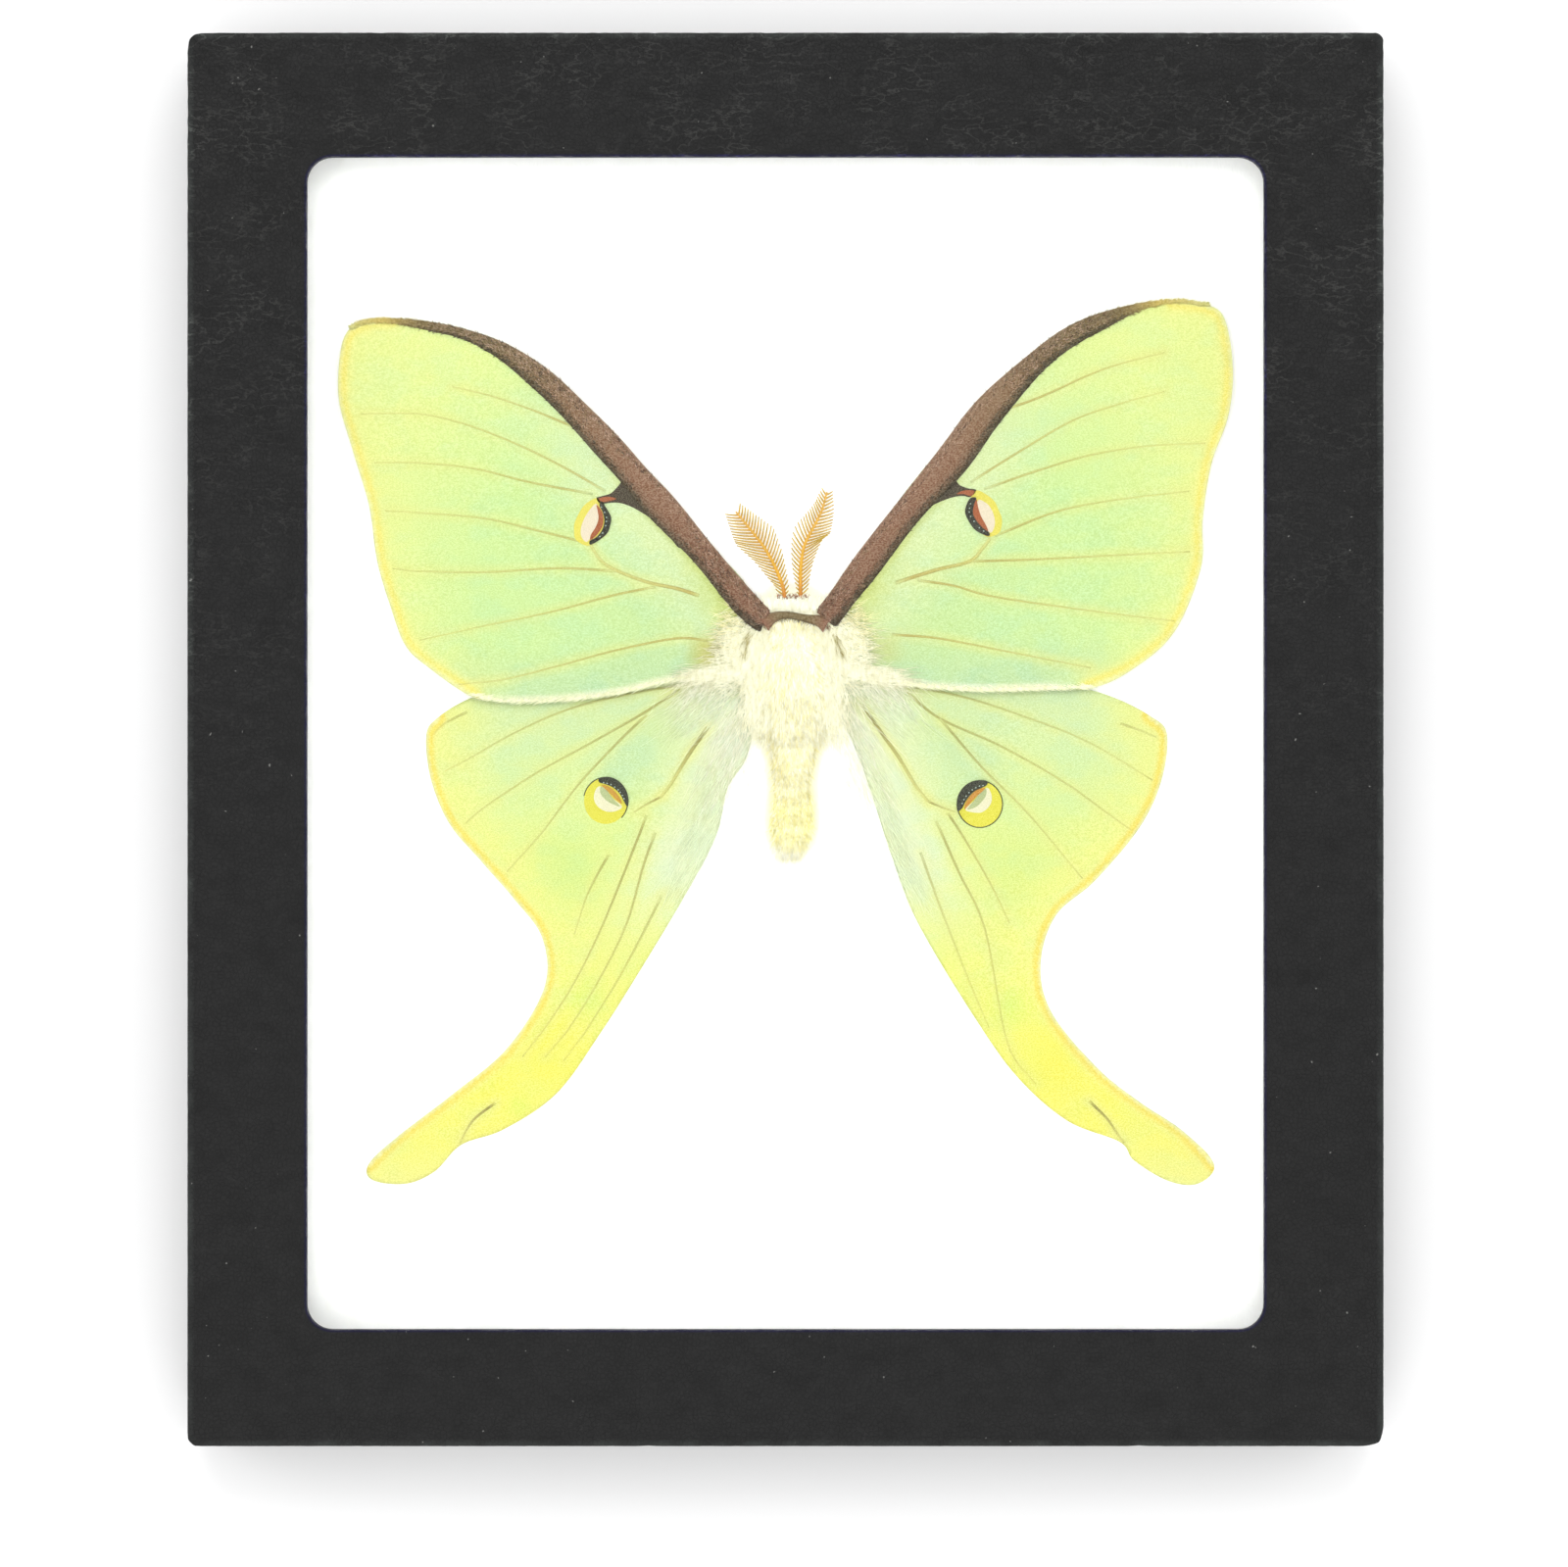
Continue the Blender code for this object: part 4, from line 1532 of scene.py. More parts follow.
@dataclass
class Forewing(Wing):
    """A forewing, with the thick brown bar along its front edge."""

    kind: str = "forewing"
    slot: Slot = Slot.FOREWING
    low: float = 14.65
    high: float = 15.0
    rim_at: float = 0.6
    vein_tints: tuple[Colour, Colour] = ((178, 152, 66), (222, 206, 118))
    greens: Stops = (
        (0.0, (206, 216, 132)), (0.16, (208, 236, 164)), (0.42, (212, 242, 170)),
        (0.66, (217, 245, 164)), (0.94, (237, 250, 158)),
    )  # fmt: skip
    inks: tuple[Ink, ...] = (
        Ink((62, 46, 34), 1),
        Ink((247, 233, 96), 1),
        Ink((176, 92, 52), 2),
        Ink((252, 236, 214), 2),
        Ink((178, 88, 44), 3),
        Ink((26, 26, 20), 4),
    )
    base: Pixel = (790, 650)
    span: float = 46.0
    stain_at: Pixel = (722, 668)
    stain: float = 0.7
    costa_outer: Path = ()
    costa_inner: Path = ()
    bar_rings: int = 110
    bar_sides: int = 22
    bar_flatness: float = 0.38
    tip_slimness: float = 0.62
    bar_lumps: Triple = (0.05, 0.5, 8.0)
    browns: Stops = (
        (0.0, (132, 80, 58)), (0.35, (146, 100, 76)), (0.6, (144, 114, 78)), (0.76, (146, 122, 76)),
        (0.86, (250, 222, 122)), (1.0, (255, 250, 160)),
    )  # fmt: skip
    # The bar's painted shade along its inner side and painted light along its outer side.
    inner_painted_shade: Colour = (54, 46, 28)
    outer_painted_light: Colour = (178, 146, 130)
    flake_seed: int = 71
    flake_count: int = 6000
    flake_length: Pair = (0.22, 0.5)
    flake_radius: float = 0.05
    flake_pink: Colour = (232, 194, 174)
    # Each other kind of flake: its tint and strength, and the draws that it takes.
    flake_kinds: tuple[tuple[Colour, float, float, float], ...] = (
        ((72, 42, 34), 0.85, 0.45, 0.72),
        ((150, 136, 84), 0.6, 0.85, 1.0),
    )
    # Painted shade on the flakes along the bar's inner side.
    flake_painted_shade: Colour = (50, 42, 26)
    fringe_seed: int = 21
    fringe_count: int = 900
    fringe_length: Pair = (0.5, 1.1)
    fringe_radius: float = 0.035
    fringe_tint: Colour = (250, 252, 216)

    def gauges(self, spots: Array) -> dict[Gauge, Array]:
        """Adds the way out from the body, and the distances from the bar and the stain.

        Args:
            spots: places, X and Y in millimetres.

        Returns:
            Each gauge's values.
        """
        base, stain = to_mm([self.base, self.stain_at])
        return super().gauges(spots) | {
            Gauge.ALONG: np.linalg.norm(spots - base, axis=1) / self.span,
            Gauge.FRONT: distance_to(smooth_line(to_mm(self.costa_inner), 4), spots),
            Gauge.STAIN: np.linalg.norm(spots - stain, axis=1),
        }

    def washes(self) -> tuple[tuple[Wash, ...], tuple[Wash, ...]]:
        """Mint by the hind edge; pale, olive and brown by the bar; yellow along the margin."""
        along, hind, front, margin = Gauge.ALONG, Gauge.HIND, Gauge.FRONT, Gauge.MARGIN
        under = (
            Wash((200, 231, 178), 0.85, ((hind, 0.5, 6.5), (along, 0.75, 1.0))),
            Wash((248, 250, 146), 0.35, ((margin, 1.0, 6.0),)),
        )
        over = (
            Wash((231, 246, 188), 0.85, ((front, 0.5, 9.0), (along, 0.5, 0.9))),
            Wash((196, 206, 106), 0.5, ((front, 0.1, 0.9), (along, 0.35, 0.6))),
            Wash((206, 190, 84), self.stain, ((Gauge.STAIN, 0.3, 3.0),)),
            Wash((214, 222, 112), 0.55, ((front, 0.3, 4.0), (along, 0.14, 0.34))),
            Wash((252, 247, 146), 0.9, ((margin, 0.4, 2.0),)),
            Wash((255, 238, 112), 0.68, ((Gauge.RIM, 0.1, 0.5),)),
            Wash((255, 254, 186), 0.9, ((margin, 0.15, 0.4),)),
            Wash(self.fringe_tint, 1.0, ((hind, 0.45, 1.0), (margin, 5.0, 0.5))),
        )
        return under, over

    def bar(self) -> None:
        """Builds the costa: a rounded bar of rough brown scales, with painted shade along its inner
        side and painted light along its outer side.
        """
        share = np.linspace(0, 1, self.bar_rings)
        lines = [smooth_line(to_mm(path), 10) for path in (self.costa_outer, self.costa_inner)]
        outer, inner = (read_along(share, np.linspace(0, 1, len(line)), line) for line in lines)
        slim = self.tip_slimness * fade(share, 0.96, 0.72)
        middle = (outer + inner) / 2
        middle = middle + (outer - middle) * slim[:, None]
        half = np.linalg.norm(outer - inner, axis=1) / 2 * (1 - slim)
        body = graded(share, self.browns)
        tints = np.repeat(body[:, None, :], self.bar_sides, axis=1)
        # Painted shade on the bar's inner side and painted light on its outer side, fading out towards
        # the tip.
        fading = fade(share, 0.45, 0.9)
        for j, outward in enumerate(np.cos(circle(self.bar_sides)) * self.sign):
            dark, pale = max(-outward, 0) ** 2.4, max(outward, 0)
            tints[:, j] = mingle(tints[:, j], self.inner_painted_shade, 0.9 * dark * fading)
            tints[:, j] = mingle(tints[:, j], self.outer_painted_light, 0.35 * pale * fading)
        path = upright(middle, self.lift(middle) - 0.06 + 0.10 * fade(share, 1.0, 0.6))
        draft = MeshDraft()
        draft.tube(path, half, tints, self.bar_sides, self.bar_flatness)
        points = np.asarray(draft.points)
        points[:, 2] = np.minimum(CEILING, points[:, 2] + uneven(points, self.bar_lumps))
        draft.points = points.tolist()
        self.flakes(draft, path, half, body)
        draft.finish(f"{self.node}_costa", self.finishes.costa, self.slot)

    def flakes(self, draft: MeshDraft, path: Array, half: Array, body: Array) -> None:
        """Sets small loose scales on the bar, pale pink, maroon and olive among its brown, darkened
        with painted shade along its inner side.

        Args:
            draft: the bar so far.
            path: its middle line.
            half: its half width along that line.
            body: its colour along that line.
        """
        draws = np.random.default_rng(self.flake_seed)
        count = self.flake_count // 1
        steps = np.arange(len(path))
        where = draws.uniform(0, 1, count) ** 0.85 * (len(path) - 1)
        spot, ahead, behind = (read_along(where + step, steps, path) for step in (0, 1, -1))
        run = unit((ahead - behind)[:, :2])
        across = np.column_stack((-run[:, 1], run[:, 0]))
        offset = draws.uniform(-0.96, 0.96, count)
        width = np.interp(where, steps, half)
        roots = spot[:, :2] + across * (offset * width)[:, None]
        crown = spot[:, 2] + width * self.bar_flatness * np.sqrt(1 - offset**2)
        turn = draws.normal(0, 0.5, count)
        heading = run * np.cos(turn)[:, None] + across * np.sin(turn)[:, None]
        tips = roots + heading * draws.uniform(*self.flake_length, count)[:, None]
        level = np.minimum(crown, HAIR_CEILING)
        start = upright(roots, level - 0.02)
        end = upright(tips, np.minimum(level + draws.uniform(0.0, 0.05, count), CEILING))
        # Painted shade: flakes on the bar's inner side are darkened, and get no pink.
        shaded_side = offset * self.sign > 0.4
        pick = draws.uniform(size=count)
        ink = fade(where / len(path), 0.66, 0.86)
        tints = read_along(where, steps, body)
        tints = mingle(tints, self.flake_pink, 0.85 * ink * (pick < 0.28) * ~shaded_side)
        for tint, share, least, most in self.flake_kinds:
            tints = mingle(tints, tint, share * ink * ((pick > least) & (pick < most)))
        tints = mingle(tints, self.flake_painted_shade, 0.7 * ink * shaded_side)
        draft.hairs(start, (start + end) / 2 + (0, 0, 0.02), end, self.flake_radius, tints)

    def fringe(self) -> None:
        """Builds the soft fringe along the hind edge."""
        draws = np.random.default_rng(self.fringe_seed)
        count = self.fringe_count
        line = smooth_line(self.stretch(self.hind), 12)
        pick = draws.integers(0, len(line), count)
        run = unit(np.gradient(line, axis=0)[pick])
        base = to_mm([self.base])[0]
        outward = np.sign(((line[pick] - base) * run).sum(1))[:, None] * run
        spots = line[pick] + draws.normal(0, 0.12, (count, 2)) + (0, 0.3)
        tips = spots + outward * draws.uniform(*self.fringe_length, (count, 1)) + (0, -0.35)
        roots = upright(spots, self.lift(spots))
        ends = upright(tips, roots[:, 2] - 0.05)
        tints = np.asarray(self.fringe_tint) - draws.uniform(0, 10, (count, 1))
        draft = MeshDraft()
        draft.hairs(roots, (roots + ends) / 2 + (0, 0, 0.08), ends, self.fringe_radius, tints)
        draft.finish(f"{self.node}_fringe", self.finishes.fur, self.slot)

    def build(self) -> None:
        """Builds every piece of the forewing."""
        super().build()
        self.bar()
        self.fringe()


def hindwing_inks(gold: Colour = (216, 158, 48)) -> tuple[Ink, ...]:
    """The colours of a hindwing's eyespot, from its rim to its black crescent."""
    tints = ((62, 68, 26), (240, 232, 70), (252, 247, 214), (192, 204, 150), gold, (24, 30, 24))
    return tuple(Ink(tint, layer) for layer, tint in enumerate(tints, 1))


@dataclass
class Hindwing(Wing):
    """A hindwing, with its long tail and furry inner edge."""

    kind: str = "hindwing"
    slot: Slot = Slot.HINDWING
    low: float = 13.9
    high: float = 14.2
    rim_at: float = 0.5
    vein_tints: tuple[Colour, Colour] = ((122, 112, 40), (214, 204, 116))
    greens: Stops = (
        (0.0, (220, 240, 184)), (0.14, (224, 244, 174)), (0.34, (231, 247, 150)),
        (0.6, (246, 249, 130)), (0.8, (253, 248, 112)), (0.93, (252, 248, 122)), (1.0, (252, 250, 144)),
    )  # fmt: skip
    inks: tuple[Ink, ...] = hindwing_inks()
    rows: Pair = (690.0, 1205.0)

    def gauges(self, spots: Array) -> dict[Gauge, Array]:
        """Adds the way down the tail."""
        first, last = self.rows
        down = (row_at(spots[:, 1]) - first) / (last - first)
        return super().gauges(spots) | {Gauge.ALONG: down}

    def washes(self) -> tuple[tuple[Wash, ...], tuple[Wash, ...]]:
        """Cream by the body, partly the scales' own colour and partly painted light that lifts the
        fur's shade there; yellow along the margin.
        """
        along, hind, margin = Gauge.ALONG, Gauge.HIND, Gauge.MARGIN
        under = (
            Wash((244, 251, 216), 0.85, ((hind, 0.5, 10.0), (along, 0.35, 0.6))),
            Wash((249, 250, 142), 0.75, ((margin, 1.0, 8.0), (along, 0.5, 0.7))),
        )
        over = (
            Wash((252, 247, 152), 0.9, ((margin, 0.3, 1.6),)),
            Wash((255, 228, 88), 0.8, ((Gauge.RIM, 0.1, 0.5),)),
            Wash((255, 254, 196), 0.85, ((margin, 0.1, 0.35),)),
        )
        return under, over


# The moth's body and its fur.


@dataclass(frozen=True)
class Tuft:
    """A lock of hairs: where its roots lie, where they point, how long and how many."""

    start: Pixel
    end: Pixel
    spread: float
    lean: Pair
    length: Pair
    count: int
    tint: Colour
    height: float
    variation: float = 10.0
    radius: float = 0.035


@dataclass
class MothBody:
    """The trunk, its coat, the brown collar and the fur over the wings' roots."""

    finishes: Finishes
    form: BodyForm
    tufts: tuple[Tuft, ...]
    sides: int = 44
    head_rings: tuple[float, int] = (640, 24)
    back_rings: tuple[float, int] = (642, 110)
    lumps: Triple = (0.06, 0.9, 6.0)
    cream: Colour = (255, 253, 228)
    # Each belt's tint and strength, its pixel row, and where it is full and gone.
    belts: tuple[tuple[Colour, float, float, float, float], ...] = (
        ((249, 243, 172), 0.85, 835, 8, 44),
        ((236, 230, 178), 0.5, 784, 10, 34),
        ((214, 206, 146), 0.35, 810, 0.5, 4.0),
        ((224, 216, 156), 0.2, 825, 0.5, 3.5),
    )
    shade: Colour = (226, 218, 168)
    coat_seed: int = 31
    coat_count: int = 11000
    quick_coat_count: int = 3000
    coat_radius: float = 0.05
    chest_share: float = 0.62
    chest_rows: Pair = (626, 752)
    abdomen_rows: Pair = (752, 874)
    straw: Colour = (252, 240, 158)
    milk: Colour = (255, 255, 244)
    dun: Colour = (214, 206, 150)
    collar_line: Path = (
        (779, 636), (786, 631), (795, 627.5), (806, 627), (816, 629), (826, 631), (836, 633), (844, 637)
    )  # fmt: skip
    collar_browns: Stops = (
        (0, (150, 98, 78)), (0.3, (126, 104, 66)), (0.7, (126, 104, 66)), (1, (150, 98, 78)),
    )  # fmt: skip
    collar_height: float = 14.92
    collar_seed: int = 41
    collar_count: int = 420
    collar_radius: float = 0.035
    lock_seed: int = 51
    lock_least: int = 8
    lock_floor: float = 13.2

    def trunk(self) -> None:
        """Builds the trunk's skin under the coat."""
        first, last = self.form.rows()
        (neck, rings), (waist, more) = self.head_rings, self.back_rings
        rows = np.concatenate((np.linspace(first, neck, rings), np.linspace(waist, last, more)))
        row = np.repeat(rows, self.sides)
        points = self.form.surface(row, np.tile(circle(self.sides), len(rows)))
        points[:, 2] -= np.abs(uneven(points + (3, 0, 0), self.lumps))
        draft = MeshDraft()
        draft.add(points, barrel(len(rows), self.sides), self.skin(row, points[:, 0]))
        draft.finish("moth_trunk", self.finishes.fur, Slot.BODY, "moth_body")

    def skin(self, row: Array, x: Array) -> Array:
        """The trunk's colour.

        Args:
            row: the pixel row of each point.
            x: how far across each point is, in millimetres.

        Returns:
            One colour a row.
        """
        tints = np.tile(np.asarray(self.cream, float), (len(row), 1))
        middle, half, _, _ = self.form.at(row)
        for tint, share, centre, full, gone in self.belts:
            tints = mingle(tints, tint, share * fade(np.abs(row - centre), full, gone))
        shaded = fade((x - middle) / half, -1.0, -0.1) * fade(np.abs(row - 775), 8, 34)
        return mingle(tints, self.shade, 0.5 * shaded)

    def coat(self) -> None:
        """Builds the coat: short dense hairs on the trunk, lying back."""
        draws = np.random.default_rng(self.coat_seed)
        count = self.coat_count
        row = np.where(
            draws.uniform(size=count) < self.chest_share,
            draws.uniform(*self.chest_rows, count),
            draws.uniform(*self.abdomen_rows, count),
        )
        across = draws.uniform(-1, 1, count)
        turn = np.arccos(np.sign(across) * np.abs(across) ** (self.form.top_power / 2))
        roots = self.form.surface(row, turn)
        chest = fade(row, 730, 770)
        length = 0.7 + 1.2 * chest * draws.uniform(0.6, 1.2, count) + draws.uniform(0, 0.3, count)
        swing = draws.normal(0, 0.45, count) + 0.35 * across * chest
        lean = np.column_stack((np.sin(swing), -np.cos(swing), np.full(count, 0.02)))
        tips = roots + lean * length[:, None]
        bends = (roots + tips) / 2
        bends[:, 2] += 0.04 + 0.08 * chest
        tips[:, 2] += draws.uniform(-0.04, 0.08, count)
        for part in (bends, tips):
            part[:, 2] = np.minimum(part[:, 2], HAIR_CEILING)
        pick = draws.uniform(size=count)
        tints = self.skin(row, roots[:, 0])
        tints = mingle(tints, self.straw, 0.6 * (pick > 0.74))
        tints = mingle(tints, self.milk, 0.8 * ((pick > 0.1) & (pick < 0.36)))
        tints = mingle(tints, self.dun, 0.6 * (pick < 0.07))
        draft = MeshDraft()
        draft.hairs(roots, bends, tips, self.coat_radius, tints)
        draft.finish("moth_coat", self.finishes.fur, Slot.BODY)

    def collar(self) -> None:
        """Builds the brown collar that joins the two bars behind the head."""
        line = smooth_line(to_mm(self.collar_line), 6)
        share = np.linspace(0, 1, len(line))
        radii = 0.36 + 0.55 * np.abs(2 * share - 1) ** 2.2
        tints = graded(share, self.collar_browns)
        draft = MeshDraft()
        draft.tube(upright(line, self.collar_height), radii, tints, 10, 0.8)
        draws = np.random.default_rng(self.collar_seed)
        count = self.collar_count
        pick = draws.integers(0, len(line), count)
        roots = upright(line[pick] + draws.normal(0, 0.16, (count, 2)), 15.0)
        sway, back = draws.normal(0, 0.3, count), draws.uniform(-0.7, -0.2, count)
        tips = roots + np.column_stack((sway, back, draws.uniform(0, 0.2, count)))
        browns = tints[pick] + draws.uniform(-22, 22, (count, 1))
        draft.hairs(roots, (roots + tips) / 2 + (0, 0, 0.1), tips, self.collar_radius, browns)
        draft.finish("moth_collar", self.finishes.costa, Slot.BODY)

    def locks(self) -> None:
        """Builds the longer locks: over the wings' roots and along the hindwings' inner edges."""
        draws = np.random.default_rng(self.lock_seed)
        draft = MeshDraft()
        for tuft in self.tufts:
            count = max(self.lock_least, tuft.count // (1))
            start, end = to_mm([tuft.start, tuft.end])
            share = draws.uniform(0, 1, (count, 1))
            flat = start + (end - start) * share + draws.normal(0, tuft.spread / 2, (count, 2))
            roots = upright(flat, tuft.height + draws.uniform(-0.06, 0.06, count))
            first, last = tuft.lean
            lean = first + (last - first) * share[:, 0] + draws.normal(0, tuft.variation, count)
            along, aside = np.cos(np.radians(lean)), np.sin(np.radians(lean))
            length = draws.uniform(*tuft.length, count)
            run = np.column_stack((along, aside, draws.uniform(-0.03, 0.02, count)))
            tips = roots + run * length[:, None]
            bow = np.column_stack((-aside, along)) * (draws.normal(0, 0.12, count) * length)[:, None]
            bends = (roots + tips) / 2 + upright(bow, 0.05)
            for part in (bends, tips):
                part[:, 2] = np.clip(part[:, 2], self.lock_floor, CEILING)
            tints = np.asarray(tuft.tint, float) + draws.uniform(-8, 2, (count, 1))
            draft.hairs(roots, bends, tips, tuft.radius, np.clip(tints, 0, FULL_CHANNEL))
        draft.finish("moth_locks", self.finishes.fur, Slot.BODY)

    def build(self) -> None:
        """Builds every piece of the trunk."""
        self.trunk()
        self.coat()
        self.collar()
        self.locks()


@dataclass
class Antenna:
    """A feathered antenna: a golden shaft with two rows of fine barbs."""

    finishes: Finishes
    side: Side
    shaft: Path
    reach_left: Triple
    reach_right: Triple
    height: float = 14.7
    rise: float = 0.18
    pitch: float = 0.40
    lean: float = 54.0
    barb_steps: int = 5
    barb_curl: float = 0.16
    barb_droop: float = 0.12
    shaft_golds: Stops = ((0, (206, 124, 40)), (0.2, (238, 176, 34)), (1, (232, 180, 76)))
    barb_golds: Stops = ((0, (224, 164, 24)), (0.4, (208, 168, 34)), (1, (210, 174, 56)))
    tuft_seed: int = 61
    tuft_count: int = 90
    tuft_radius: float = 0.045
    tuft_tint: Colour = (186, 112, 62)

    def build(self) -> None:
        """Builds the antenna in place of the plain CAD one."""
        line = smooth_line(to_mm(self.shaft), 12)
        steps = np.linalg.norm(np.diff(line, axis=0), axis=1)
        travelled = np.concatenate(((0,), np.cumsum(steps)))
        share = travelled / travelled[-1]
        path = upright(line, self.height + self.rise * np.sin(math.pi * share))
        draft = MeshDraft()
        draft.tube(path, 0.20 - 0.11 * share, graded(share, self.shaft_golds), 8)
        for number in range(int(travelled[-1] / self.pitch)):
            where = (number + 0.6) * self.pitch / travelled[-1]
            places = (where, min(where + 0.02, 1), where - 0.02)
            spot, ahead, behind = (read_along(place, share, path) for place in places)
            forward = unit(ahead - behind)
            for sign, reach in ((-1, self.reach_left), (1, self.reach_right)):
                length = np.interp(where, (0, 0.5, 1), reach)
                self.barb(draft, spot, forward, sign, length)
        self.base_hairs(draft, path)
        node = f"antenna_{self.side.value}"
        draft.finish(f"{node}_feather", self.finishes.antenna, Slot.ANTENNA, node)

    def barb(
        self, draft: MeshDraft, spot: Array, forward: Array, sign: int, length: float
    ) -> None:
        """Adds one barb, curled forwards and drooping to its tip.

        Args:
            draft: the antenna so far.
            spot: where the barb starts.
            forward: the shaft's direction there.
            sign: 1 for a barb on the shaft's right and -1 on its left.
            length: its length.
        """
        turn = math.radians(self.lean)
        run = math.cos(turn) * forward + math.sin(turn) * sign * np.cross(forward, UP)
        bend = run + self.barb_curl * forward
        travel = np.linspace(0, 1, self.barb_steps)
        share = travel[:, None]
        line = spot + length * share * ((1 - share) * run + share * bend)
        line[:, 2] -= self.barb_droop * travel**2
        draft.tube(line, 0.095 - 0.035 * travel, graded(travel, self.barb_golds), 4)

    def base_hairs(self, draft: MeshDraft, path: Array) -> None:
        """Adds the reddish tuft at the antenna's root.

        Args:
            draft: the antenna so far.
            path: its shaft.
        """
        draws = np.random.default_rng(self.tuft_seed)
        count = self.tuft_count
        across, up = draws.uniform(-0.75, 0.75, count), draws.uniform(-0.45, 0.1, count)
        roots = path[0] + np.column_stack((across, up, draws.uniform(-0.2, 0.1, count)))
        sway, forth = draws.normal(0, 0.25, count), draws.uniform(0.1, 0.6, count)
        tips = roots + np.column_stack((sway, forth, draws.uniform(0, 0.15, count)))
        tints = np.asarray(self.tuft_tint) + draws.uniform(-30, 30, (count, 1))
        draft.hairs(roots, (roots + tips) / 2, tips, self.tuft_radius, tints)


# The studio.


@dataclass
class Studio:
    """The floor, the lamps and the camera over the case."""

    lens_mm: float = 200.0
    sensor_mm: float = 36.0
    view_width_mm: float = 160.0
    farthest_m: float = 10.0
    lid_top: float = 19.0
    floor_half_mm: float = 2500.0
    world: float = 0.78
    dark_cap: Pair = (14.0, 8.0)
    # Each lamp's name, place and size in metres, and power in watts.
    lamps: tuple[tuple[str, Triple, float, float], ...] = (
        ("key_from_above", (0.0, 0.44, 0.86), 0.5, 2.5),
        ("fill_left", (-0.52, 0.05, 0.80), 0.5, 1.6),
        ("fill_right", (0.52, 0.05, 0.80), 0.5, 1.6),
        ("fill_below", (0.0, -0.50, 0.80), 0.5, 1.9),
    )

    def build(self) -> None:
        """Builds the studio."""
        self.camera()
        self.light()
        self.floor()

    def camera(self) -> None:
        """Hangs the camera straight over the case, framed as the photograph is."""
        lens = bpy.data.cameras.new("camera")
        lens.lens = self.lens_mm
        lens.sensor_width = self.sensor_mm
        lens.clip_end = self.farthest_m
        camera = bpy.data.objects.new("camera", lens)
        centre = to_mm([(IMAGE_PX[0] / 2, IMAGE_PX[1] / 2)])[0]
        distance = self.view_width_mm * self.lens_mm / self.sensor_mm
        camera.location = Vector((centre[0], centre[1], self.lid_top + distance)) * MM
        bpy.context.scene.collection.objects.link(camera)
        bpy.context.scene.camera = camera

    def light(self) -> None:
        """Sets the lamps and the soft light of the room."""
        for name, place, size, power in self.lamps:
            lamp = bpy.data.lights.new(name, "AREA")
            lamp.shape = "DISK"
            lamp.size = size
            lamp.energy = power
            holder = bpy.data.objects.new(name, lamp)
            holder.location = place
            holder.rotation_euler = (-Vector(place)).to_track_quat("-Z", "Y").to_euler()
            bpy.context.scene.collection.objects.link(holder)
        room = bpy.data.worlds.new("room")
        room.use_nodes = True
        nodes, links = room.node_tree.nodes, room.node_tree.links
        back = nodes["Background"]
        back.inputs["Strength"].default_value = self.world
        split = nodes.new("ShaderNodeSeparateXYZ")
        links.new(nodes.new("ShaderNodeTexCoord").outputs["Generated"], split.inputs["Vector"])
        shade = nodes.new("ShaderNodeMapRange")
        shade.interpolation_type = "SMOOTHSTEP"
        wide, narrow = (math.cos(math.radians(angle)) for angle in self.dark_cap)
        for socket, value in zip(shade.inputs[1:5], (wide, narrow, 1.0, 0.0)):
            socket.default_value = value
        links.new(split.outputs["Z"], shade.inputs["Value"])
        links.new(shade.outputs["Result"], back.inputs["Color"])
        bpy.context.scene.world = room
        bpy.context.scene.view_settings.view_transform = "Standard"
        bpy.context.scene.view_settings.look = "None"

    def floor(self) -> None:
        """Lays the pale floor under the case."""
        half = self.floor_half_mm * MM
        mesh = bpy.data.meshes.new("studio_floor")
        corners = [(-half, -half, 0), (half, -half, 0), (half, half, 0), (-half, half, 0)]
        mesh.from_pydata(corners, [], [(0, 1, 2, 3)])
        mesh.materials.append(PaleFloor().build())
        floor = bpy.data.objects.new("studio_floor", mesh)
        bpy.context.scene.collection.objects.link(floor)


# This specimen: lines and marks measured on the photograph.


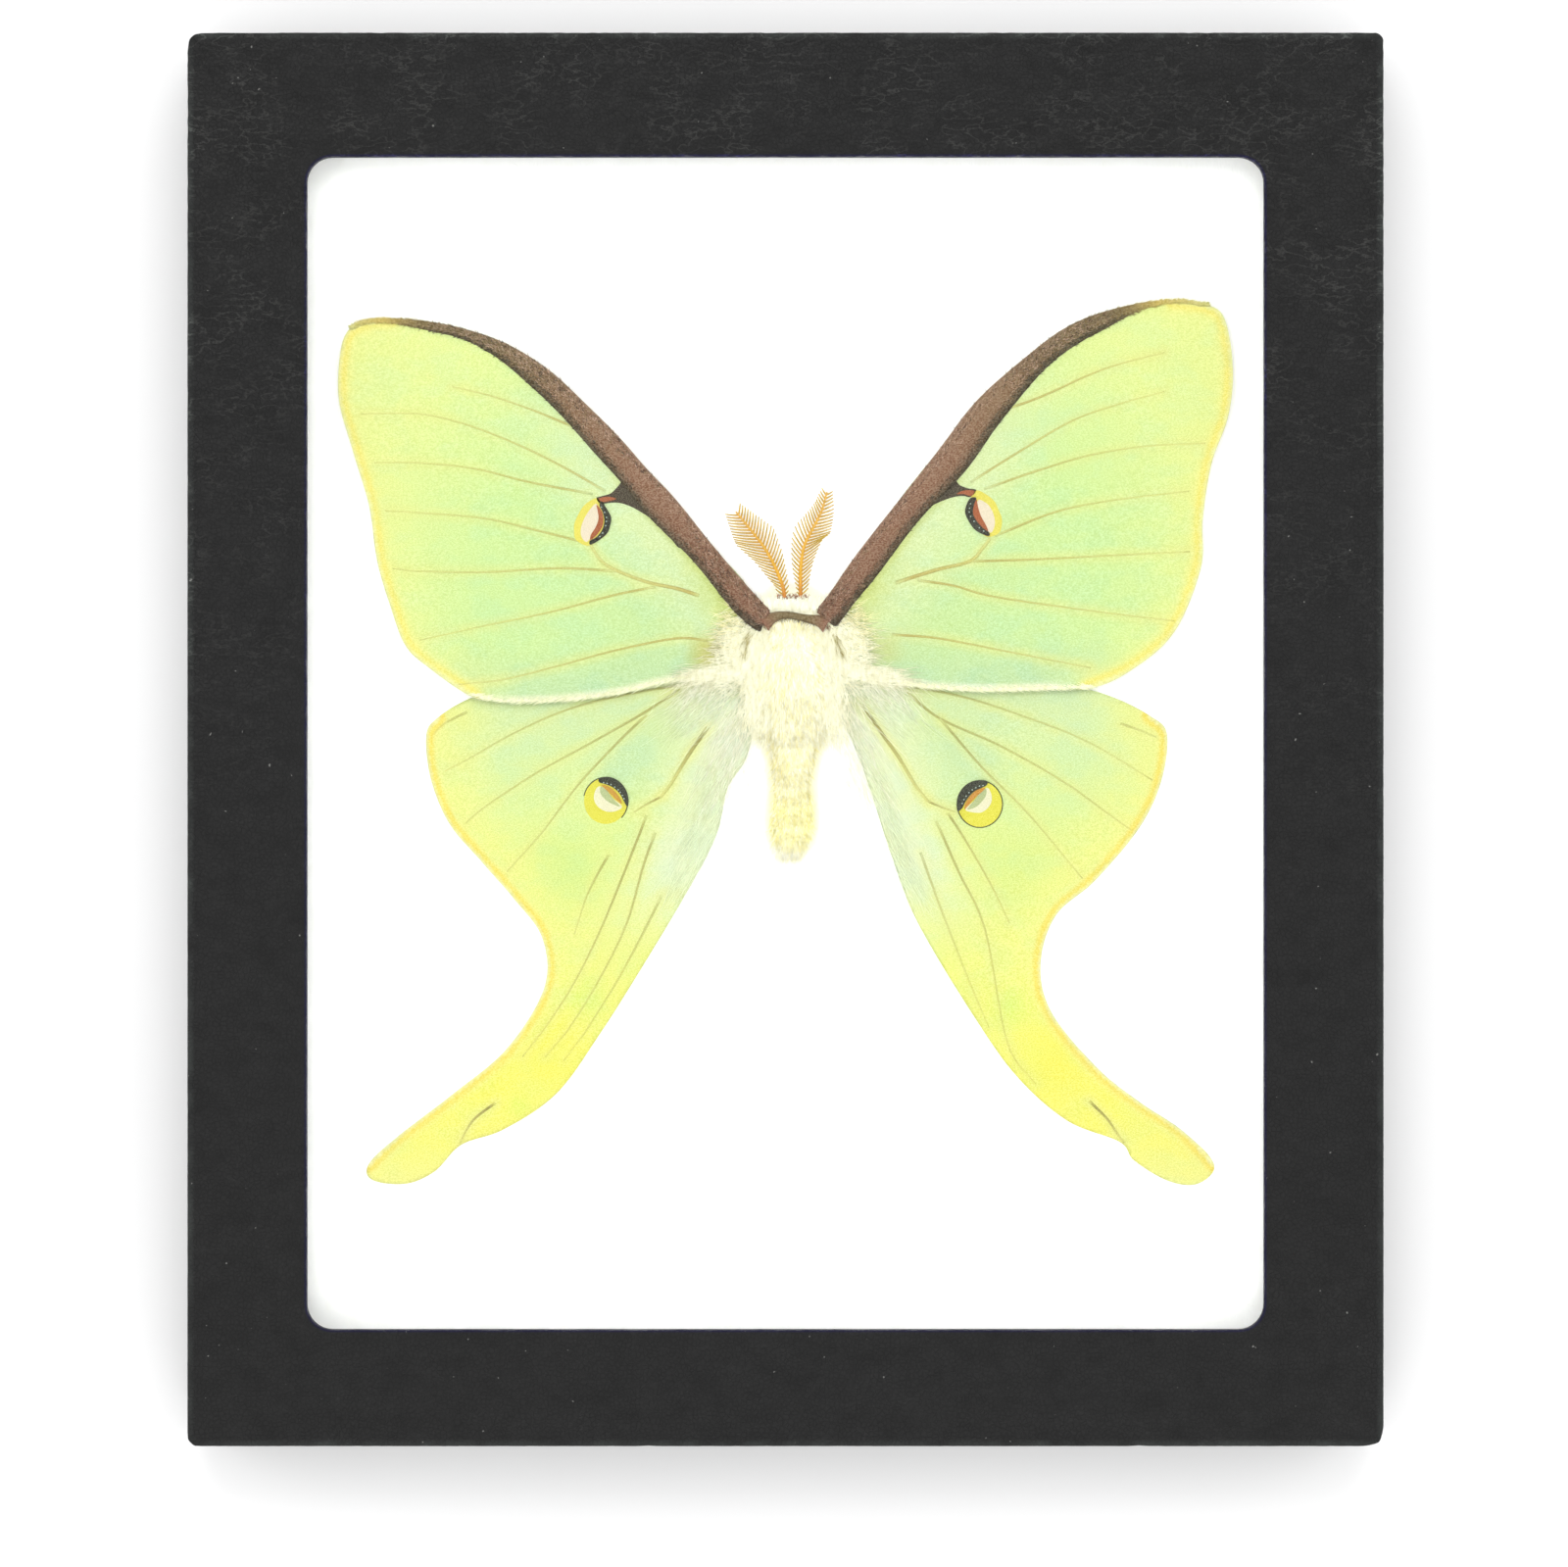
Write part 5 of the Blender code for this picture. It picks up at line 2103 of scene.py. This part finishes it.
def left_forewing(finishes: Finishes) -> Forewing:
    """The forewing on the viewer's left.

    Args:
        finishes: the materials.

    Returns:
        The forewing.
    """
    return Forewing(
        finishes=finishes,
        side=Side.LEFT,
        outline=(
            (345, 361), (353, 336), (371, 326), (397, 324), (435, 326), (473, 334), (512, 348),
            (550, 372), (585, 402), (635, 450), (685, 507), (727, 557), (762, 597), (778, 636),
            (770, 688), (752, 689), (724, 690), (678, 697), (632, 708), (579, 715), (521, 717),
            (481, 711), (435, 680), (412, 658), (397, 619), (383, 571), (375, 516), (358, 458),
            (344, 407),
        ),
        margin=(21, 3),
        hind=(15, 21),
        base=(790, 650),
        root=(778, 660),
        costa_outer=(
            (788, 626), (784, 620), (765, 600), (727, 557), (685, 507), (635, 450), (585, 402),
            (550, 372), (512, 348), (473, 334), (435, 326), (397, 323), (372, 325), (357, 331),
        ),
        costa_inner=(
            (773, 641), (767, 640), (743, 617), (702, 565), (653, 514), (620, 476), (580, 428),
            (550, 397), (512, 366), (473, 345), (435, 336), (397, 330), (373, 330), (358, 334),
        ),
        veins=(
            Vein(((584, 434), (560, 424), (537, 415), (498, 402), (460, 393)), 0.7),
            Vein(((617, 500), (577, 477), (531, 454), (475, 432), (426, 421), (366, 421)), 0.6),
            Vein(((604, 503), (540, 491), (483, 477), (426, 471), (380, 471)), 0.6),
            Vein(((601, 554), (550, 541), (493, 528), (424, 522), (391, 520)), 0.6),
            Vein(((628, 582), (569, 579), (493, 583), (426, 582), (399, 579)), 0.65),
            Vein(((713, 607), (691, 600), (656, 592), (617, 575), (601, 554)), 0.95, (0.2, 0.16)),
            Vein(((668, 598), (624, 607), (560, 624), (493, 638), (426, 653)), 0.7),
            Vein(((722, 653), (688, 651), (624, 664), (569, 679), (512, 693), (466, 698)), 0.8),
        ),
        marks=(
            ((637, 488), (630, 495), (623, 502), (614, 505), (608, 507), (612, 513), (622, 512),
             (631, 512), (641, 515), (651, 520), (662, 527), (673, 536), (683, 547), (692, 558),
             (694, 552), (660, 518), (646, 500)),
            ((608, 507), (595, 515), (586, 531), (585, 541), (587, 550), (599, 556), (611, 550),
             (619, 543), (622, 534), (622, 527), (618, 519), (613, 512)),
            ((610, 508), (616, 506), (622, 506), (628, 508), (622, 510), (614, 511)),
            ((607, 513), (599, 522), (593, 534), (592, 545), (597, 552), (602, 548), (608, 537),
             (611, 528), (610, 518)),
            ((608, 514), (613, 520), (615, 528), (614, 536), (609, 544), (602, 550), (602, 545),
             (607, 537), (610, 528), (609, 520)),
            ((613, 511), (619, 519), (623, 527), (622, 535), (619, 543), (611, 550), (602, 555),
             (601, 551), (608, 547), (614, 539), (616, 530), (614, 521), (611, 515)),
        ),
        dots=(
            (613, 516.5), (616.3, 521.8), (618.2, 527), (618, 531), (617.4, 535.4), (614.2, 543),
            (611.4, 546.6),
        ),
        seed=1.0,
    )  # fmt: skip


def right_forewing(finishes: Finishes) -> Forewing:
    """The forewing on the viewer's right.

    Args:
        finishes: the materials.

    Returns:
        The forewing.
    """
    return Forewing(
        finishes=finishes,
        side=Side.RIGHT,
        outline=(
            (842, 640), (853, 602), (912, 517), (960, 456), (1002, 404), (1050, 361), (1088, 335),
            (1123, 319), (1162, 309), (1200, 305), (1234, 309), (1252, 325), (1260, 376), (1255, 424),
            (1238, 472), (1229, 529), (1227, 579), (1200, 644), (1158, 682), (1114, 702), (1056, 704),
            (999, 705), (932, 700), (890, 687), (852, 684),
        ),
        margin=(9, 19),
        hind=(19, 23),
        base=(830, 650),
        root=(842, 660),
        stain_at=(900, 664),
        stain=0.3,
        flake_seed=72,
        fringe_seed=22,
        costa_outer=(
            (836, 622), (842, 612), (864, 580), (912, 517), (960, 456), (1002, 404), (1050, 361),
            (1088, 334), (1123, 318), (1162, 308), (1200, 304), (1234, 308),
        ),
        costa_inner=(
            (849, 641), (855, 636), (892, 590), (938, 530), (984, 482), (1016, 434), (1060, 382),
            (1090, 355), (1123, 336), (1162, 318), (1200, 309), (1234, 311),
        ),
        veins=(
            Vein(((1028, 416), (1064, 403), (1110, 382), (1143, 370), (1190, 358)), 0.8),
            Vein(((991, 491), (1037, 462), (1095, 428), (1146, 410), (1190, 398)), 0.65),
            Vein(((1005, 498), (1060, 479), (1114, 463), (1171, 454), (1232, 451)), 0.6),
            Vein(((1016, 546), (1076, 522), (1133, 510), (1215, 500)), 0.65),
            Vein(((990, 572), (1056, 570), (1133, 566), (1216, 562)), 0.75),
            Vein(((914, 594), (955, 581), (990, 572), (1003, 559), (1011, 549)), 0.95, (0.2, 0.16)),
            Vein(((936, 591), (974, 597), (1009, 607), (1066, 616), (1133, 625), (1200, 633)), 0.8),
            Vein(((911, 647), (959, 651), (1037, 666), (1114, 681)), 0.85),
        ),
        marks=(
            ((973, 485), (979, 493), (988, 497), (997, 499), (991, 506), (984, 505), (974, 506),
             (961, 510.5), (945, 517), (950, 508), (962, 496)),
            ((997, 499), (1008, 504), (1016, 511), (1020, 520), (1023, 527), (1023, 535), (1020, 543),
             (1010, 547), (1003, 544), (995, 538), (989, 530), (986, 521), (988, 513), (991, 507)),
            ((995, 500), (989, 499), (982, 500), (977, 503), (984, 503), (992, 505)),
            ((999, 509), (1008, 513), (1014, 522), (1016, 533), (1013, 542), (1008, 540), (1001, 528),
             (998, 518)),
            ((997, 508), (999, 517), (1002, 526), (1007, 535), (1009, 541), (1003, 537), (996, 529),
             (993, 521), (994, 513)),
            ((991, 507), (987, 514), (985.5, 522), (989, 530.5), (995, 539), (1003, 544), (1010, 546),
             (1010, 542), (1004, 538), (997, 530), (993.5, 522), (995, 513), (997, 507)),
        ),
        dots=(
            (991, 513), (990, 517.5), (989.8, 521.5), (991.3, 526), (994.6, 531), (1000, 537.6),
            (1004.5, 541),
        ),
        seed=4.0,
    )  # fmt: skip


def ellipse(centre: Pixel, across: float, down: float) -> Path:
    """Points on an ellipse in photo pixels, clockwise from its right.

    Args:
        centre: its middle.
        across: its half width.
        down: its half height.

    Returns:
        The points.
    """
    turns = circle(ELLIPSE_POINTS)
    return tuple(zip(centre[0] + across * np.cos(turns), centre[1] + down * np.sin(turns)))


def left_hindwing(finishes: Finishes) -> Hindwing:
    """The hindwing on the viewer's left.

    Args:
        finishes: the materials.

    Returns:
        The hindwing.
    """
    centre = (617.2, 817.4)
    return Hindwing(
        finishes=finishes,
        side=Side.LEFT,
        outline=(
            (778, 694), (740, 676), (680, 680), (600, 690), (530, 700), (481, 711), (445, 732),
            (433, 751), (438, 796), (457, 841), (491, 881), (524, 919), (552, 958), (554, 1009),
            (516, 1071), (459, 1119), (402, 1163), (374, 1190), (378, 1206), (412, 1210), (442, 1197),
            (469, 1170), (513, 1154), (567, 1117), (612, 1055), (658, 982), (698, 915), (730, 854),
            (742, 805), (759, 778), (768, 752), (780, 728),
        ),
        margin=(6, 17),
        hind=(23, 31),
        veins=(
            Vein(((720, 695), (650, 706), (583, 722), (527, 746), (477, 774), (452, 787)), 0.6),
            Vein(((694, 703), (653, 729), (602, 758), (544, 790), (493, 824), (474, 840)), 0.65),
            Vein(((659, 729), (628, 759), (588, 802), (554, 847), (516, 890)), 0.65),
            Vein(((722, 742), (707, 763), (695, 782), (684, 800), (674, 813)), 1.0, (0.19, 0.15)),
            Vein(((674, 813), (659, 821), (646, 829)), 0.8, (0.12, 0.08)),
            Vein(
                ((659, 832), (648, 861), (624, 921), (608, 958), (587, 1000), (562, 1040), (532, 1080)),
                0.7,
            ),
            Vein(((668, 850), (656, 883), (639, 942), (612, 998), (582, 1047), (555, 1080)), 0.6),
            Vein(((674, 915), (657, 950), (630, 1000), (597, 1053), (574, 1084)), 0.45),
            Vein(((620, 873), (608, 894), (597, 917), (585, 954)), 0.6),
            Vein(((475, 726), (452, 738), (440, 749)), 0.4),
            Vein(((504, 1127), (484, 1142), (475, 1154), (468, 1168)), 1.0, (0.14, 0.1)),
        ),
        marks=(
            ellipse(centre, 23.4, 24.8),
            ellipse(centre, 22.2, 23.6),
            ((609, 803), (605, 813), (608, 822), (617, 828), (627, 828), (634, 823), (625, 815),
             (616, 805)),
            ((612, 803), (612, 810), (618, 817), (625, 821), (632, 823), (624, 814), (617, 805)),
            ((613, 801), (620, 802.5), (626, 807), (631, 813), (634, 820), (630, 818), (622, 810),
             (616, 804.5)),
            ((610, 795), (619, 792.5), (629, 796), (636.5, 804.5), (640.5, 815), (639.5, 823),
             (637, 820), (634, 814), (630, 808), (623.7, 803), (616.4, 800), (611, 798.5)),
        ),
        dots=(
            (615, 798.6), (618.6, 799.4), (622.6, 800.6), (626.5, 803.2), (630, 806), (632, 808.6),
            (634.4, 811.8), (636, 815),
        ),
        patches=(
            ((568, 896), 6.5, (214, 240, 142)), ((596, 1020), 3.5, (226, 247, 116)),
            ((560, 1070), 6.0, (254, 246, 92)), ((497, 1110), 4.5, (253, 248, 104)),
            ((455, 900), 6.0, (248, 248, 142)), ((528, 1130), 2.0, (236, 248, 110)),
            ((640, 775), 6.0, (206, 236, 182)), ((690, 870), 5.0, (222, 243, 196)),
            # The two patches by the body are partly the scales' own whitish colour and partly painted
            # light that lifts the shade of the fur over them.
            ((758, 742), 7.0, (255, 255, 236)), ((716, 710), 6.0, (255, 255, 214)),
        ),
        seed=6.0,
    )  # fmt: skip


def right_hindwing(finishes: Finishes) -> Hindwing:
    """The hindwing on the viewer's right.

    Args:
        finishes: the materials.

    Returns:
        The hindwing.
    """
    centre = (1000.8, 820.6)
    return Hindwing(
        finishes=finishes,
        side=Side.RIGHT,
        outline=(
            (842, 690), (876, 675), (940, 680), (1010, 688), (1070, 694), (1129, 708), (1175, 730),
            (1193, 750), (1186, 800), (1163, 847), (1119, 899), (1078, 936), (1063, 988), (1076, 1037),
            (1123, 1093), (1166, 1127), (1209, 1156), (1241, 1190), (1224, 1210), (1194, 1207),
            (1159, 1186), (1144, 1167), (1090, 1145), (1038, 1099), (992, 1034), (937, 942), (910, 873),
            (884, 793), (863, 742), (846, 722),
        ),
        margin=(6, 17),
        hind=(23, 28),
        veins=(
            Vein(((880, 692), (972, 708), (1041, 729), (1110, 756), (1178, 796)), 0.6),
            Vein(((926, 706), (960, 733), (1022, 761), (1087, 798), (1132, 830), (1157, 848)), 0.65),
            Vein(((960, 733), (1004, 784), (1050, 830), (1106, 897)), 0.65),
            Vein(((878, 716), (901, 749), (919, 775), (935, 802), (948, 818)), 1.0, (0.19, 0.15)),
            Vein(((948, 818), (962, 824), (976, 829)), 0.8, (0.12, 0.08)),
            Vein(((956, 838), (979, 890), (1006, 949), (1029, 1065), (1058, 1108)), 0.6),
            Vein(((968, 830), (983, 853), (1011, 901), (1031, 942)), 0.7),
            Vein(((940, 870), (958, 920), (985, 990), (1010, 1050)), 0.45),
            Vein(((1145, 738), (1165, 745), (1182, 752)), 0.4),
            Vein(((1113, 1125), (1131, 1143), (1140, 1156), (1148, 1168)), 1.0, (0.14, 0.1)),
        ),
        marks=(
            ellipse(centre, 23.8, 24.6),
            ellipse(centre, 22.6, 23.4),
            ((1009, 804), (1013, 813), (1011, 822), (1003, 829), (993, 829), (986, 826), (995, 817),
             (1003, 808)),
            ((1007, 805), (1007, 812), (1002, 819), (996, 824), (988, 826), (994, 818), (1001, 809)),
            ((1006, 804), (998, 806), (991, 812), (986, 820), (985, 826), (989, 822), (996, 814),
             (1003, 808)),
            ((1008, 797), (1000, 796), (990, 799), (981.5, 807.5), (977.5, 818), (978, 828),
             (982.5, 825), (985.6, 819), (990, 812.5), (996, 807), (1003, 803.8), (1008, 801)),
        ),
        dots=(
            (1004, 801.6), (1000.4, 802.2), (996.6, 803.8), (993, 806), (989.6, 808.8), (986.6, 812.4),
            (984.4, 816), (982.6, 820),
        ),
        inks=hindwing_inks((216, 150, 50)),
        patches=(
            ((1052, 906), 6.5, (220, 242, 142)), ((1030, 1030), 3.5, (228, 247, 116)),
            ((1075, 1085), 6.0, (254, 246, 92)), ((1130, 1135), 4.5, (253, 248, 104)),
            ((1170, 850), 5.0, (250, 250, 150)), ((985, 770), 6.0, (208, 236, 184)),
            # The patches at (862, 736) and (900, 708), by the body, are partly the scales' own whitish
            # colour and partly painted light that lifts the shade of the fur over them.
            ((930, 880), 5.0, (222, 243, 198)), ((862, 736), 6.5, (255, 255, 236)),
            ((900, 708), 6.0, (253, 255, 214)),
        ),
        seed=9.0,
    )  # fmt: skip


def locks_of_fur() -> tuple[Tuft, ...]:
    """This specimen's locks of fur."""
    cream, white, straw = (255, 253, 228), (255, 255, 238), (254, 247, 200)
    mint, head, olive = (246, 256, 224), (255, 254, 236), (176, 164, 96)
    return (
        # Over the roots of the forewings.
        Tuft((764, 640), (754, 686), 2.2, (205, 165), (1.2, 3.2), 700, cream, 15.0, 20.0),
        Tuft((854, 640), (866, 686), 2.2, (-25, 15), (1.2, 3.2), 700, cream, 15.0, 20.0),
        Tuft((752, 618), (744, 660), 1.6, (150, 200), (0.6, 2.0), 240, straw, 15.0, 22.0, 0.028),
        Tuft((866, 616), (878, 660), 1.6, (30, -20), (0.6, 2.0), 240, straw, 15.0, 22.0, 0.028),
        Tuft((736, 648), (734, 668), 0.7, (160, 195), (0.6, 1.4), 24, olive, 15.0, 20.0, 0.022),
        Tuft((764, 684), (712, 690), 1.0, (190, 186), (2.0, 5.0), 320, cream, 15.02, 8.0, 0.028),
        Tuft((856, 682), (908, 692), 1.0, (-10, -8), (2.0, 5.0), 320, cream, 15.02, 8.0, 0.028),
        # Beside the thorax, hiding where the wings come out of it.
        Tuft((772, 638), (770, 740), 1.6, (245, 265), (1.2, 2.8), 1100, cream, 15.0, 16.0),
        Tuft((846, 638), (850, 740), 1.6, (-65, -85), (1.2, 2.8), 1100, cream, 15.0, 16.0),
        # The two short olive tufts below are painted shade: dark lines where shadow falls beside the
        # thorax.
        Tuft((766, 645), (757, 668), 0.35, (235, 262), (0.5, 1.3), 45, olive, 15.3, 14.0, 0.025),
        Tuft((850, 645), (860, 668), 0.35, (-55, -82), (0.5, 1.3), 45, olive, 15.3, 14.0, 0.025),
        Tuft((762, 690), (700, 700), 1.4, (222, 236), (1.6, 4.6), 130, white, 14.5, 12.0, 0.026),
        Tuft((858, 688), (920, 702), 1.4, (-42, -56), (1.6, 4.6), 130, white, 14.5, 12.0, 0.026),
        # The head.
        Tuft((779, 613), (840, 613), 0.5, (-95, -85), (0.5, 1.0), 1100, head, 14.95, 6.0, 0.05),
        # Down the hindwings' inner edges.
        Tuft((762, 700), (748, 800), 2.6, (236, 247), (3.0, 8.0), 190, white, 14.3, 7.0, 0.024),
        Tuft((856, 700), (874, 800), 2.6, (-56, -67), (3.0, 8.0), 190, white, 14.3, 7.0, 0.024),
        Tuft((742, 770), (700, 900), 1.8, (240, 243), (2.0, 6.0), 220, mint, 14.3, 6.0, 0.02),
        Tuft((878, 770), (926, 900), 1.8, (-60, -63), (2.0, 6.0), 220, mint, 14.3, 6.0, 0.02),
        Tuft((740, 715), (700, 720), 2.4, (214, 226), (2.0, 6.0), 160, mint, 14.3, 8.0, 0.02),
        Tuft((878, 712), (920, 718), 2.4, (-34, -46), (2.0, 6.0), 160, mint, 14.3, 8.0, 0.02),
        # The tip of the abdomen.
        Tuft((796, 862), (814, 862), 0.6, (-105, -88), (0.8, 2.0), 320, (254, 252, 236), 14.1),
    )


def antennae(finishes: Finishes) -> tuple[Antenna, Antenna]:
    """The two antennae, each with the reach of its barbs at its root, middle and tip.

    Args:
        finishes: the materials.

    Returns:
        The left one and the right one.
    """
    left = (
        (800.6, 609), (798.6, 597), (791, 578), (783, 563), (775, 551), (758, 530), (750.6, 521),
    )  # fmt: skip
    right = (
        (817, 609), (817, 582), (819, 564), (822, 553), (828, 541), (834, 530), (839, 519), (844, 501),
    )  # fmt: skip
    return (
        Antenna(finishes, Side.LEFT, left, (0.9, 2.9, 1.1), (0.5, 2.3, 1.0)),
        Antenna(finishes, Side.RIGHT, right, (0.4, 2.0, 0.7), (0.9, 2.4, 0.6)),
    )


def main() -> None:
    """Builds the studio and every piece of the specimen, in order."""
    logging.basicConfig(level=logging.INFO, format="%(name)s %(message)s")
    Studio().build()
    finishes = Finishes()
    form = BodyForm()
    Casework(finishes).build()
    Lid(finishes).build()
    Batting(finishes, form).build()
    for wing in (left_hindwing, right_hindwing, left_forewing, right_forewing):
        wing(finishes).build()
    MothBody(finishes, form, locks_of_fur()).build()
    for antenna in antennae(finishes):
        antenna.build()


if __name__ == "__main__":
    main()
